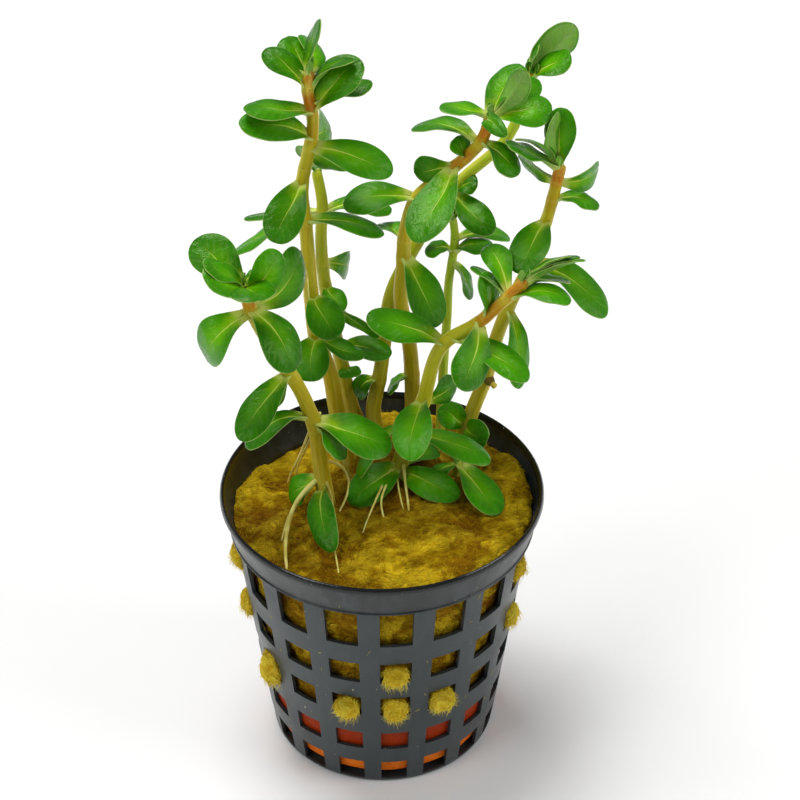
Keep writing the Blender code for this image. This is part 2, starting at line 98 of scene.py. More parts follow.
def make_lamp(name, place, aim, width, power):
    """A square soft lamp that faces its aim."""
    light = bpy.data.lights.new(name, "AREA")
    light.shape = "SQUARE"
    light.size = width * MM
    light.energy = power
    lamp = bpy.data.objects.new(name, light)
    lamp.location = Vector(place) * MM
    sight = Vector(aim) - Vector(place)
    lamp.rotation_euler = sight.to_track_quat("-Z", "Y").to_euler()
    bpy.context.scene.collection.objects.link(lamp)


def make_room(brightness):
    """An even white surrounding."""
    world = bpy.data.worlds.new("white_room")
    world.use_nodes = True
    background = world.node_tree.nodes["Background"]
    background.inputs["Color"].default_value = (1.0, 1.0, 1.0, 1.0)
    background.inputs["Strength"].default_value = brightness
    bpy.context.scene.world = world


for lamp_name, (place, aim, width, power) in LAMPS.items():
    make_lamp(lamp_name, place, aim, width, power)
make_room(ROOM_BRIGHTNESS)
bpy.context.scene.view_settings.view_transform = "Standard"
print(len(LAMPS), "soft lamps in a white room")

# %% [markdown]
# ## Tools for finishes
# A finish is a small network of nodes. Short helpers keep such a network readable: they
# add a node and fill its sockets with values or with other nodes' outputs, do sums, lay
# colours over each other by masks, and read what the mesh carries.

# %% Helpers for node networks
MIX_MASK, MIX_FIRST, MIX_SECOND, MIX_RESULT = 0, 6, 7, 2     # sockets of a mix of colours


def fill(tree, socket, value):
    """Give a socket a plain value, or a link from another node's socket."""
    if isinstance(value, bpy.types.NodeSocket):
        tree.links.new(value, socket)
    else:
        socket.default_value = value


def add(tree, kind, sockets=None, **settings):
    """Add a node with its settings, and fill its sockets."""
    made = tree.nodes.new(kind)
    for setting, value in settings.items():
        setattr(made, setting, value)
    for socket, value in (sockets or {}).items():
        fill(tree, made.inputs[socket], value)
    return made


def maths(tree, operation, *values):
    """The result of one calculation."""
    return add(tree, "ShaderNodeMath", dict(enumerate(values)), operation=operation).outputs[0]


def times(tree, first, second):
    """The product of two values."""
    return maths(tree, "MULTIPLY", first, second)


def plus(tree, first, second):
    """The sum of two values."""
    return maths(tree, "ADD", first, second)


def scaled(tree, value, factor, offset):
    """A value times a factor, plus an offset."""
    return maths(tree, "MULTIPLY_ADD", value, factor, offset)


def fade(tree, value, start, end, low=0.0, high=1.0):
    """A smooth change from low to high while a value goes from start to end."""
    sockets = {"Value": value, "From Min": start, "From Max": end, "To Min": low, "To Max": high}
    return add(tree, "ShaderNodeMapRange", sockets, interpolation_type="SMOOTHSTEP").outputs[0]


def mixed(tree, mask, first, second):
    """The first colour where the mask is 0, and the second where it is 1."""
    sockets = {MIX_MASK: mask}
    for socket, colour in ((MIX_FIRST, first), (MIX_SECOND, second)):
        sockets[socket] = (*colour, 1.0) if isinstance(colour, tuple) else colour
    return add(tree, "ShaderNodeMix", sockets, data_type="RGBA").outputs[MIX_RESULT]


def layered(tree, colour, *layers):
    """A colour with others laid over it in turn, each where its mask says."""
    for mask, above in layers:
        colour = mixed(tree, mask, colour, above)
    return colour


def attribute(tree, name):
    """A number that the mesh carries at each point."""
    return add(tree, "ShaderNodeAttribute", attribute_name=name).outputs["Fac"]


def position(tree, stretch=(1.0, 1.0, 1.0)):
    """The place on the object in millimetres, stretched along its axes."""
    place = add(tree, "ShaderNodeTexCoord").outputs["Object"]
    scale = tuple(share / MM for share in stretch)
    return add(tree, "ShaderNodeMapping", {"Vector": place, "Scale": scale}).outputs[0]


def level(tree, place):
    """The height of a place above the ground."""
    return add(tree, "ShaderNodeSeparateXYZ", {0: place}).outputs["Z"]


def new_finish(name, constants):
    """A material with one Principled shader, and the plain values of its sockets."""
    finish = bpy.data.materials.new(name)
    finish.use_nodes = True
    tree = finish.node_tree
    shader = tree.nodes["Principled BSDF"]
    for socket, value in constants.items():
        shader.inputs[socket].default_value = value
    return finish, tree, shader


def give_colour(tree, shader, colour, roughness=None):
    """Feed the shader its colour and, where it changes over the piece, its roughness."""
    tree.links.new(colour, shader.inputs["Base Color"])
    if roughness is not None:
        tree.links.new(roughness, shader.inputs["Roughness"])


def relief(tree, shader, height, depth):
    """Feed a height, from 0 to 1 for a depth in millimetres, to the shader as relief."""
    bump = add(tree, "ShaderNodeBump", {"Height": height, "Distance": depth * MM})
    tree.links.new(bump.outputs["Normal"], shader.inputs["Normal"])


print("helpers ready")

# %% [markdown]
# Two effects return on several pieces. *Mottling* is the soft, cloudy change of tone that
# no real surface is without, together with a finer grain for its relief. *Specks* are
# sparse small dots: dust on the pot, pores in the clay, brown marks on the stems, pale
# points on the leaves.
# Each is a node group that is built once and placed with its own values.

# %% The shared effects
def new_group(name, inputs, outputs):
    """An empty node group with number sockets, vectors where the name says so."""
    group = bpy.data.node_groups.new(name, "ShaderNodeTree")
    for socket, value in inputs.items():
        kind = "NodeSocketVector" if socket == "Vector" else "NodeSocketFloat"
        made = group.interface.new_socket(socket, in_out="INPUT", socket_type=kind)
        if value is not None:
            made.default_value = value
    for socket in outputs:
        group.interface.new_socket(socket, in_out="OUTPUT", socket_type="NodeSocketFloat")
    return group, group.nodes.new("NodeGroupInput"), group.nodes.new("NodeGroupOutput")


def make_mottling():
    """Cloudy patches and a fine grain."""
    group, given, result = new_group(
        "mottling", {"Vector": None, "Patch Size": 4.0, "Grain Size": 0.3}, ("Patches", "Grain"))
    for size, detail, output in (("Patch Size", 3.0, "Patches"), ("Grain Size", 2.0, "Grain")):
        scale = maths(group, "DIVIDE", 1.0, given.outputs[size])
        cloud = add(group, "ShaderNodeTexNoise",
                    {"Vector": given.outputs["Vector"], "Scale": scale, "Detail": detail})
        even = fade(group, cloud.outputs["Fac"], 0.3, 0.7)
        group.links.new(even, result.inputs[output])
    return group


def make_specks():
    """Sparse round dots of a given spacing and size."""
    group, given, result = new_group(
        "specks", {"Vector": None, "Spacing": 2.0, "Size": 0.1, "Share": 0.3}, ("Mask",))
    scale = maths(group, "DIVIDE", 1.0, given.outputs["Spacing"])
    cells = add(group, "ShaderNodeTexVoronoi", {"Vector": given.outputs["Vector"], "Scale": scale})
    far = maths(group, "MULTIPLY", cells.outputs["Distance"], given.outputs["Spacing"])
    near = maths(group, "SUBTRACT", 1.0, maths(group, "DIVIDE", far, given.outputs["Size"]))
    dots = fade(group, near, 0.0, 0.5)
    chosen = add(group, "ShaderNodeSeparateColor", {"Color": cells.outputs["Color"]}).outputs[0]
    kept = maths(group, "LESS_THAN", chosen, given.outputs["Share"])
    group.links.new(maths(group, "MULTIPLY", dots, kept), result.inputs["Mask"])
    return group


MOTTLING = make_mottling()
SPECKS = make_specks()


def mottle(tree, place, patches, grain):
    """Place the mottling, with patches and a grain of these sizes in millimetres."""
    sockets = {"Vector": place, "Patch Size": patches, "Grain Size": grain}
    return add(tree, "ShaderNodeGroup", sockets, node_tree=MOTTLING).outputs


def speckle(tree, place, spacing, size, share):
    """Place the specks: their spacing and size in millimetres, and the share that shows."""
    sockets = {"Vector": place, "Spacing": spacing, "Size": size, "Share": share}
    return add(tree, "ShaderNodeGroup", sockets, node_tree=SPECKS).outputs["Mask"]


print("groups:", MOTTLING.name, "and", SPECKS.name)

# %% [markdown]
# ## The floor
# A plain pale floor catches a soft shadow. It isn't part of the object, so it isn't
# attached to the body.

# %% Make the floor
FLOOR_SIZE = 4000.0
FLOOR_COLOUR = (0.92, 0.92, 0.915)
FLOOR_UNEVENNESS = 1.02      # how much brighter its pale patches are


def make_piece(name, points, faces, finish):
    """A smooth mesh object from points in millimetres and faces of point numbers."""
    mesh = bpy.data.meshes.new(name)
    mesh.from_pydata((np.asarray(points) * MM).tolist(), [], faces)
    mesh.materials.append(finish)
    mesh.shade_smooth()
    piece = bpy.data.objects.new(name, mesh)
    bpy.context.scene.collection.objects.link(piece)
    return piece


def floor_finish():
    """Pale matt paper with a faint unevenness."""
    finish, tree, shader = new_finish("pale_floor", {"Roughness": 0.7, "Specular IOR Level": 0.2})
    cloud = mottle(tree, position(tree), patches=60.0, grain=1.0)
    paler = tuple(share * FLOOR_UNEVENNESS for share in FLOOR_COLOUR)
    give_colour(tree, shader, mixed(tree, cloud["Patches"], FLOOR_COLOUR, paler))
    return finish


half = FLOOR_SIZE / 2
corners = [(-half, -half, 0), (half, -half, 0), (half, half, 0), (-half, half, 0)]
floor = make_piece("floor", corners, [(0, 1, 2, 3)], floor_finish())
print("floor", FLOOR_SIZE / 1000, "m wide")

# %% [markdown]
# ## The net pot
# The pot is a thin moulding of slate-grey plastic. Its wall is a lattice: columns of
# windows that let roots and water through, under a solid band with a rounded lip. Such a
# wall could be cut with Booleans, but a grid is tidier: the pot is unrolled into rows and
# columns of cells, outside and inside, the cells of a window are left out, and the edges
# between open and closed cells are walled up.
#
# The driving sizes are those of the solid model.

# %% The pot's sizes
GAP = 0.3
POT_HEIGHT = 46.4
RIM_RADIUS = 25.0
LIP_HEIGHT = 1.0
LIP_STEP = 0.4
BAND_HEIGHT = 6.2
BAND_STEP = 0.5
WALL_TOP_RADIUS = 23.1
BASE_RADIUS = 18.2
BASE_CHAMFER = 0.9
WALL = 1.0
SHEET = 0.65                 # the moulded wall is thinner than its solid
COLUMNS = 17
FIRST_COLUMN = -84.8
WINDOW_ANGLE = 12.8
WINDOW_ROWS = ((0.9, 5.2), (8.5, 12.4), (16.7, 20.9), (24.5, 28.8), (32.8, 40.1))
FLOOR_SLOT = (8.0, 14.5)
FLOOR_HUB = 5.0
BAND_BOTTOM = POT_HEIGHT - BAND_HEIGHT
SKIN_OUTLINE = (             # height, outer radius
    (0.0, BASE_RADIUS), (BAND_BOTTOM, WALL_TOP_RADIUS),
    (BAND_BOTTOM + BAND_STEP, WALL_TOP_RADIUS + BAND_STEP),
    (POT_HEIGHT - 2 * LIP_HEIGHT, RIM_RADIUS - LIP_STEP),
    (POT_HEIGHT - LIP_HEIGHT, RIM_RADIUS), (POT_HEIGHT, RIM_RADIUS))


def skin_radius(height):
    """Outer radius of the pot at a height."""
    return np.interp(height, *zip(*SKIN_OUTLINE))


print("wall", skin_radius(0.0), "to", skin_radius(BAND_BOTTOM), "mm in radius")

# %% [markdown]
# The section of the wall is a chain of pairs, one point on the outer face and one on the
# inner face. It starts in the middle of the floor, turns up at the base and ends over the
# lip. Where the band starts, a fine bead catches the light, as the photograph shows.

# %% The section of the wall
LIP_WIDTH = 0.85             # the rounded lip is thicker than the wall
LIP_TURNS = (0, 30, 60, 90)  # degrees at which its rounding has a pair
LIP_TILT = 0.15              # the lip's inner foot lies this much lower than its outer one
LIP_HOLLOW = 0.4             # and the wall's inner face ends this much below the lip
LEDGE = 0.12                 # height of the band's step
BEAD = 0.14                  # how far the bead under the band stands out
BEAD_SHAPE = ((0.0, 0.0), (0.1, 1.0), (0.3, 1.0), (0.45, 0.0))   # height, share of its width
BASE_BEND = 5                # steps of the rounding between floor and wall


def wall_section():
    """Pairs of (radius, height), outside and inside, from the floor's middle to the lip."""
    pairs = [((radius, 0.0), (radius, SHEET)) for radius in (FLOOR_HUB, *FLOOR_SLOT)]
    for step in range(BASE_BEND + 1):
        turn = math.radians(90 * step / BASE_BEND)
        outer = (BASE_RADIUS - BASE_CHAMFER + BASE_CHAMFER * math.sin(turn),
                 BASE_CHAMFER - BASE_CHAMFER * math.cos(turn))
        inner = (min(outer[0], skin_radius(outer[1]) - SHEET), max(SHEET, outer[1]))
        pairs.append((outer, inner))
    for low, high in WINDOW_ROWS:
        for height in ((low, high) if low > BASE_CHAMFER else (high,)):
            pairs.append(((skin_radius(height), height), (skin_radius(height) - SHEET, height)))
    for rise, share in BEAD_SHAPE:
        height = BAND_BOTTOM + LEDGE + rise
        out = BAND_STEP + BEAD * share
        pairs.append(((WALL_TOP_RADIUS + out, height), (WALL_TOP_RADIUS - SHEET, height)))
    lip_low = POT_HEIGHT - 2 * LIP_HEIGHT
    pairs.append(((RIM_RADIUS - LIP_STEP, lip_low),
                  (RIM_RADIUS - LIP_STEP - SHEET, lip_low - LIP_HOLLOW)))
    middle = RIM_RADIUS - LIP_WIDTH / 2
    for turn in LIP_TURNS:
        slope = math.radians(turn)
        height = POT_HEIGHT - LIP_HEIGHT + LIP_HEIGHT * math.sin(slope)
        out = LIP_WIDTH / 2 * math.cos(slope)
        pairs.append(((middle + out, height), (middle - out, height - LIP_TILT * math.cos(slope))))
    return pairs


section = wall_section()
print(len(section), "pairs from floor to lip")

# %% [markdown]
# Round the pot, each window is as wide as four cells and each rib as wide as three, which
# keeps the rim smooth. A small bevel then rounds every moulded edge.

# %% The lattice
CELLS_PER_WINDOW = 4
CELLS_PER_RIB = 3
FLOOR_LEVEL = BASE_CHAMFER / 4   # a cell that ends below this lies in the floor
EDGE_ROUNDING = 0.14
SHARP_EDGE = 40              # edges that turn by more degrees than this are rounded


def lattice_angles():
    """Compass angles of the cells' borders, and which cells belong to a window column."""
    rib_angle = 360.0 / COLUMNS - WINDOW_ANGLE
    angles = []
    in_window = []
    for column in range(COLUMNS):
        start = FIRST_COLUMN - WINDOW_ANGLE / 2 + column * 360.0 / COLUMNS
        for cell in range(CELLS_PER_WINDOW):
            angles.append(start + WINDOW_ANGLE * cell / CELLS_PER_WINDOW)
            in_window.append(column)
        for cell in range(CELLS_PER_RIB):
            angles.append(start + WINDOW_ANGLE + rib_angle * cell / CELLS_PER_RIB)
            in_window.append(None)
    return np.radians(angles), in_window


def cell_is_open(column, low_pair, high_pair):
    """True for a cell of a window, or of a slot in the floor under every second column."""
    (low_radius, low), (high_radius, high) = low_pair[0], high_pair[0]
    if column is None:
        return False
    if high < FLOOR_LEVEL:
        middle = (low_radius + high_radius) / 2
        return column % 2 == 0 and FLOOR_SLOT[0] < middle < FLOOR_SLOT[1]
    middle = (low + high) / 2
    return any(bottom < middle < top for bottom, top in WINDOW_ROWS)


def make_lattice():
    """Points and faces of the pot: outer and inner cells, and walls round the openings."""
    angles, columns = lattice_angles()
    around, along = len(angles), len(section)
    points = [(radius * math.cos(angle), radius * math.sin(angle), height)
              for side in (0, 1) for angle in angles
              for radius, height in (pair[side] for pair in section)]
    outer, inner = np.arange(2 * around * along).reshape(2, around, along)
    is_open = np.array([[cell_is_open(column, *pairs) for pairs in zip(section, section[1:])]
                        for column in columns])
    faces = [outer[::-1, 0], inner[:, 0]]
    for a, j in np.ndindex(around, along - 1):
        if is_open[a, j]:
            continue
        b, k = (a + 1) % around, j + 1
        faces.append((outer[a, j], outer[b, j], outer[b, k], outer[a, k]))
        faces.append((inner[a, j], inner[a, k], inner[b, k], inner[b, j]))
        if is_open[b, j]:
            faces.append((outer[b, j], inner[b, j], inner[b, k], outer[b, k]))
        if is_open[a - 1, j]:
            faces.append((outer[a, j], outer[a, k], inner[a, k], inner[a, j]))
        if j > 0 and is_open[a, j - 1]:
            faces.append((outer[a, j], inner[a, j], inner[b, j], outer[b, j]))
        if k < along - 1 and is_open[a, k]:
            faces.append((outer[a, k], outer[b, k], inner[b, k], inner[a, k]))
    return points, [tuple(int(corner) for corner in face) for face in faces]


lattice_points, lattice_faces = make_lattice()
print(len(lattice_faces), "faces before rounding")

# %% [markdown]
# The plastic is dyed through and slightly matt, with a faint orange-peel skin, long soft
# scuffs from stacking, and pale dust. The lip is handled and wiped, so it is glossier. The
# band and the lip carry a painted dark reflection: they are painted darker than the ribs.

# %% The pot's finish
POT_COLOUR = (0.026, 0.036, 0.038)
POT_SCUFF = (0.040, 0.049, 0.051)
POT_BAND_PAINTED_REFLECTION = (0.010, 0.015, 0.015)
POT_LIP_PAINTED_REFLECTION = (0.006, 0.008, 0.008)
POT_DUST = (0.50, 0.48, 0.34)


def pot_finish():
    """Slate-grey moulded plastic with scuffs, dust, a glossier lip, and a painted dark reflection
    on the band and lip.
    """
    finish, tree, shader = new_finish("slate_plastic", {"Specular IOR Level": 0.42})
    place = position(tree)
    cloud = mottle(tree, place, patches=7.0, grain=0.35)
    streak = mottle(tree, position(tree, (1.0, 1.0, 0.25)), patches=1.6, grain=0.5)
    dust = speckle(tree, place, spacing=1.3, size=0.11, share=0.4)
    grit = speckle(tree, position(tree, (1.0, 1.0, 0.45)), spacing=2.6, size=0.13, share=0.35)
    scuffs = times(tree, cloud["Patches"], streak["Patches"])
    height = level(tree, place)
    # painted reflection: the band and the lip are painted darker, for the dark room that their
    # smooth faces reflect
    on_lip = fade(tree, height, POT_HEIGHT - 1.3, POT_HEIGHT - 0.9)
    band_painted_reflection = fade(tree, height, BAND_BOTTOM - 0.2, BAND_BOTTOM + 0.2)
    pale = maths(tree, "MAXIMUM", times(tree, dust, 0.7), grit)
    colour = layered(tree, POT_COLOUR, (band_painted_reflection, POT_BAND_PAINTED_REFLECTION), (scuffs, POT_SCUFF),
                     (on_lip, POT_LIP_PAINTED_REFLECTION), (pale, POT_DUST))
    matt = scaled(tree, cloud["Patches"], 0.16, 0.28)
    give_colour(tree, shader, colour, scaled(tree, on_lip, -0.2, matt))
    relief(tree, shader, plus(tree, times(tree, cloud["Grain"], 0.35), scuffs), 0.03)
    return finish


def round_edges(piece, width):
    """Bevel the sharp edges of a moulded piece and let the shading follow the flat faces."""
    bevel = piece.modifiers.new("moulded_edges", "BEVEL")
    bevel.width = width * MM
    bevel.segments = 2
    bevel.limit_method = "ANGLE"
    bevel.angle_limit = math.radians(SHARP_EDGE)
    flats = piece.modifiers.new("even_shading", "WEIGHTED_NORMAL")
    flats.keep_sharp = True


net_pot = make_piece("net_pot_shell", lattice_points, lattice_faces, pot_finish())
round_edges(net_pot, EDGE_ROUNDING)
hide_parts("net_pot")
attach(net_pot, BODY)
print("pot", net_pot.name, "with", len(net_pot.data.polygons), "faces before its bevel")

# %% [markdown]
# ## The clay weight
# Under the wool lies a puck of orange fired clay, which keeps the pot from floating. Only
# the two lowest rows of windows show it. It is a turned shape: a profile with rounded
# corners is carried round the axis, and noise makes its face slightly uneven, as clay is.

# %% Make the clay weight
WEIGHT_HEIGHT = 12.0
WEIGHT_ROUNDING = 1.7
WEIGHT_PLAY = 0.25           # between the puck and the wall
WEIGHT_UNDERSIDE = (2.0, 9.0)        # radii of the rings of its underside, from the middle
WEIGHT_SIDE = (0.25, 0.5, 0.75)      # heights of the rings of its side, as shares
WEIGHT_TOP = (12.0, 6.0, 2.0)        # radii of the rings of its top, towards the middle
WEIGHT_UNEVENNESS = 0.006    # swelling and shrinking, as a share of the radius
WEIGHT_BUMPS = 0.35          # bumps per millimetre
TURNS = 96                   # points round a turned piece
CORNER_STEPS = 5             # steps of a rounded corner


def turned(profile):
    """Points and faces of a profile of (radius, height) carried round the axis."""
    angles = np.linspace(0, 2 * math.pi, TURNS, endpoint=False)
    points = [(radius * math.cos(angle), radius * math.sin(angle), height)
              for radius, height in profile for angle in angles]
    return points, grid_faces(len(profile), TURNS)


def grid_faces(rows, around, start=0):
    """Quads of a tube whose points are stored ring after ring, and its two flat ends."""
    spot = start + np.arange(rows * around).reshape(rows, around)
    onward = np.roll(spot, -1, axis=1)
    quads = np.stack((spot[:-1], onward[:-1], onward[1:], spot[1:]), axis=-1)
    faces = [tuple(quad) for quad in quads.reshape(-1, 4).tolist()]
    return faces + [tuple(spot[0, ::-1].tolist()), tuple(spot[-1].tolist())]


def rounded_corner(radius, height, ease, start_turn):
    """Points of a quarter round that ends a profile's side."""
    turns = [math.radians(start_turn + 90 * step / CORNER_STEPS)
             for step in range(CORNER_STEPS + 1)]
    return [(radius - ease + ease * math.cos(turn), height + ease * math.sin(turn))
            for turn in turns]


CLAY_BRIGHT = (0.95, 0.235, 0.006)
CLAY_RED = (0.72, 0.13, 0.005)
CLAY_DAMP_AND_SHADE = (0.30, 0.022, 0.001)
CLAY_PORE = (0.10, 0.02, 0.005)


def clay_finish():
    """Damp fired clay: orange, darker and redder higher up, partly from damp and partly painted
    shade under the wool, with pores and a soft shine.
    """
    finish, tree, shader = new_finish("fired_clay", {"Specular IOR Level": 0.12})
    place = position(tree)
    cloud = mottle(tree, place, patches=3.0, grain=0.25)
    pores = speckle(tree, place, spacing=0.8, size=0.12, share=0.4)
    # painted shade, partly damp: the clay is painted darker and redder higher up, where the wool
    # and the wall shade it
    soaked = fade(tree, level(tree, place), 5.4, 8.6, 0.0, 0.95)
    colour = layered(tree, CLAY_BRIGHT, (cloud["Patches"], CLAY_RED), (soaked, CLAY_DAMP_AND_SHADE),
                     (times(tree, pores, 0.6), CLAY_PORE))
    give_colour(tree, shader, colour, scaled(tree, cloud["Grain"], 0.2, 0.35))
    relief(tree, shader, maths(tree, "SUBTRACT", cloud["Grain"], pores), 0.08)
    return finish


def make_clay_weight():
    """A puck between the pot's floor and the wool."""
    low = WALL + GAP
    high = low + WEIGHT_HEIGHT
    ease = WEIGHT_ROUNDING
    radius_low = skin_radius(low + ease) - SHEET - WEIGHT_PLAY
    radius_high = skin_radius(high) - SHEET - WEIGHT_PLAY
    profile = [(radius, low) for radius in WEIGHT_UNDERSIDE]
    profile += rounded_corner(radius_low, low + ease, ease, -90)
    profile += [(radius_low + (radius_high - radius_low) * share,
                 low + ease + (WEIGHT_HEIGHT - 2 * ease) * share) for share in WEIGHT_SIDE]
    profile += rounded_corner(radius_high, high - ease, ease, 0)
    profile += [(radius, high) for radius in WEIGHT_TOP]
    points, faces = turned(profile)
    uneven = [1 + WEIGHT_UNEVENNESS * noise.noise(Vector(point) * WEIGHT_BUMPS)
              for point in points]
    points = [(x * swell, y * swell, z) for (x, y, z), swell in zip(points, uneven)]
    return make_piece("clay_puck", points, faces, clay_finish())


clay_weight = make_clay_weight()
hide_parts("clay_weight")
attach(clay_weight, BODY)
print("clay puck", round(clay_weight.dimensions.x / MM, 1), "mm wide")

# %% [markdown]
# ## The stone wool
# The wool is spun rock fibre, pressed round the stems and soaked. From a step away it is a
# lumpy block with a torn top that has sunk at the back left, and tufts that bulge out
# through the windows. From close by it is a felt of fine fibres.
#
# The block is made in three steps. A turned body is bent to the shape of the torn top,
# balls of wool are set in the windows, and a voxel remesh melts all of it into one skin,
# which noise then roughens. The depth that the noise reaches is kept on the mesh, so that
# the finish can paint shade into the hollows and light onto the crests.

# %% The shape of the wool
WOOL_BOTTOM = 13.8
WOOL_TOP = 43.6
WOOL_SLOPE = 0.05
WOOL_LUMPS = 0.5
WOOL_PLAY = 0.3              # between the wool and the wall
HOLLOWS = (                  # x, y, depth, reach; the last ones lie under low leaves
    (-13.0, 14.0, 3.0, 9.5), (15.0, 14.0, 1.6, 6.5),
    (17.0, -3.5, 1.5, 4.5), (10.0, 1.0, 1.2, 4.5), (-2.0, 1.0, 1.0, 4.5))
EDGE_DROP = 0.9              # how far the top's edge is rounded down
EDGE_START = 0.93            # the rounding starts at this share of the radius
EDGE_WIDTH = 0.07            # and is this wide
SIDE_DRAW = 0.02             # how much a low top draws the wool at the wall down with it
WOOL_TURNS = 144             # points round the body
TOP_RINGS = 42
SIDE_RINGS = 30
BOTTOM_RINGS = 8
BOTTOM_STEP = 2.0            # distance between two rings of the underside
TUFTS = (                    # window row from the bottom, column, size out, sideways, up
    (2, 0, 3.3, 2.25, 2.0), (2, 1, 3.1, 2.1, 1.9), (2, -1, 3.1, 2.2, 2.0), (3, 0, 3.1, 2.2, 1.9),
    (2, -3, 3.0, 2.3, 3.4), (3, -4, 2.5, 2.2, 2.6), (4, -4, 2.2, 2.2, 2.8),
    (4, -5, 2.0, 2.0, 2.2), (3, 3, 2.4, 2.1, 2.2), (4, 3, 2.1, 2.1, 2.4), (3, 7, 3.0, 2.1, 2.0),
)
TUFT_SAG = 0.3
TUFT_RINGS = 12
TUFT_TURNS = 20
TUFT_ROUNDNESS = 0.7         # 1 for a round tuft, less for a squarer one
VOXEL = 0.42


def wool_top(x, y):
    """Height of the torn top: it rises to the right and sinks in the hollows."""
    lumps = math.sin(0.55 * x + 0.3 * y) * math.cos(0.5 * y - 0.2 * x)
    height = WOOL_TOP + WOOL_SLOPE * x + WOOL_LUMPS * lumps
    for centre_x, centre_y, depth, reach in HOLLOWS:
        away = math.hypot(x - centre_x, y - centre_y) / reach
        height -= depth * math.exp(-away ** 2)
    return height


def wool_body():
    """The turned body of the wool with its torn top."""
    fit = SHEET + WOOL_PLAY
    edge = skin_radius(WOOL_TOP) - fit
    bottom_radius = skin_radius(WOOL_BOTTOM) - fit
    rings = [(edge * share, None) for share in np.linspace(0.02, 1.0, TOP_RINGS)]
    rings += [(None, height) for height in np.linspace(WOOL_TOP - 1.5, WOOL_BOTTOM, SIDE_RINGS)]
    rings += [(bottom_radius - BOTTOM_STEP * step, WOOL_BOTTOM)
              for step in range(1, BOTTOM_RINGS + 1)]
    points = []
    for radius, height in rings:
        for angle in np.linspace(0, 2 * math.pi, WOOL_TURNS, endpoint=False):
            reach = radius if radius else skin_radius(height) - fit
            x, y = reach * math.cos(angle), reach * math.sin(angle)
            top = wool_top(x, y)
            if height is None:
                rim = max(0.0, (radius / edge - EDGE_START) / EDGE_WIDTH)
                z = top - EDGE_DROP * rim ** 2
            else:
                z = min(height, top - EDGE_DROP - SIDE_DRAW * (WOOL_TOP - height))
            points.append((x, y, z))
    return points, grid_faces(len(rings), WOOL_TURNS)


def squared(share):
    """Bend a circle's sine or cosine so that the circle turns into a rounded square."""
    return math.copysign(abs(share) ** TUFT_ROUNDNESS, share)


def tuft_ball(row, column, out, side, up):
    """An egg of wool that bulges out through a window and sags a little."""
    low, high = WINDOW_ROWS[row]
    middle = (low + high) / 2 - TUFT_SAG
    angle = math.radians(FIRST_COLUMN + column * 360.0 / COLUMNS)
    outwards = np.array((math.cos(angle), math.sin(angle), 0.0))
    sideways = np.array((-math.sin(angle), math.cos(angle), 0.0))
    upwards = np.array((0.0, 0.0, 1.0))
    centre = outwards * (skin_radius(middle) - WALL) + upwards * middle
    points = []
    for ring in range(1, TUFT_RINGS):
        tilt = math.pi * ring / TUFT_RINGS
        for step in range(TUFT_TURNS):
            turn = 2 * math.pi * step / TUFT_TURNS
            points.append(centre + outwards * out * math.cos(tilt)
                          + sideways * side * math.sin(tilt) * squared(math.cos(turn))
                          + upwards * up * math.sin(tilt) * squared(math.sin(turn)))
    return points, grid_faces(TUFT_RINGS - 1, TUFT_TURNS)


body_points, body_faces = wool_body()
print(len(body_faces), "faces in the wool's body")

# %% [markdown]
# The remesh modifier works on the whole at once. Its result is read back into the mesh, so
# that the noise can move the points of the new skin. Two sizes of lumps and a fine tousle
# are added along the normals. Beside the pot's wall the skin may only sink, and it moves
# freely on the top and in the tufts.

# %% Melt the wool into one skin
def joined(*shapes):
    """One list of points and one of faces from several shapes."""
    points = []
    faces = []
    for shape_points, shape_faces in shapes:
        start = len(points)
        points += [tuple(point) for point in shape_points]
        faces += [tuple(corner + start for corner in face) for face in shape_faces]
    return points, faces


def apply_modifiers(piece):
    """Replace a piece's mesh by what its modifiers make of it."""
    depsgraph = bpy.context.evaluated_depsgraph_get()
    mesh = bpy.data.meshes.new_from_object(piece.evaluated_get(depsgraph))
    piece.modifiers.clear()
    piece.data = mesh


def read_points(mesh):
    """A mesh's points and normals in millimetres and plain directions."""
    points = np.empty(len(mesh.vertices) * 3, np.float32)
    normals = np.empty(len(mesh.vertices) * 3, np.float32)
    mesh.vertices.foreach_get("co", points)
    mesh.vertex_normals.foreach_get("vector", normals)
    return points.reshape(-1, 3) / MM, normals.reshape(-1, 3)


def write_points(mesh, points):
    """Put points in millimetres back into a mesh."""
    mesh.vertices.foreach_set("co", (points * MM).astype(np.float32).ravel())
    mesh.update()


def give_attribute(mesh, name, values):
    """Let the mesh carry a number at each point, for its finish to read."""
    made = mesh.attributes.new(name, "FLOAT", "POINT")
    made.data.foreach_set("value", np.asarray(values, np.float32))


def fractal(points, size, octaves, offset):
    """Noise from about -1 to 1 at each point, whose largest lumps have a given size."""
    shift = Vector((offset, offset, offset))
    return np.array([noise.fractal(Vector(point) / size + shift, 0.9, 2.0, octaves)
                     for point in points.tolist()])


WOOL_WET_SPOTS = (           # x, y, reach and strength of the brown, soaked places
    (-19.5, -6.0, 5.5, 1.7), (-1.0, 3.0, 7.5, 0.9), (-11.0, -13.0, 3.0, 0.7),
    (14.0, -6.0, 4.0, 0.5), (6.0, 10.0, 8.0, 0.6), (13.0, -9.0, 3.0, 0.5),
    (-7.0, -16.5, 3.5, 0.6), (12.0, -16.0, 2.5, 0.6),
)
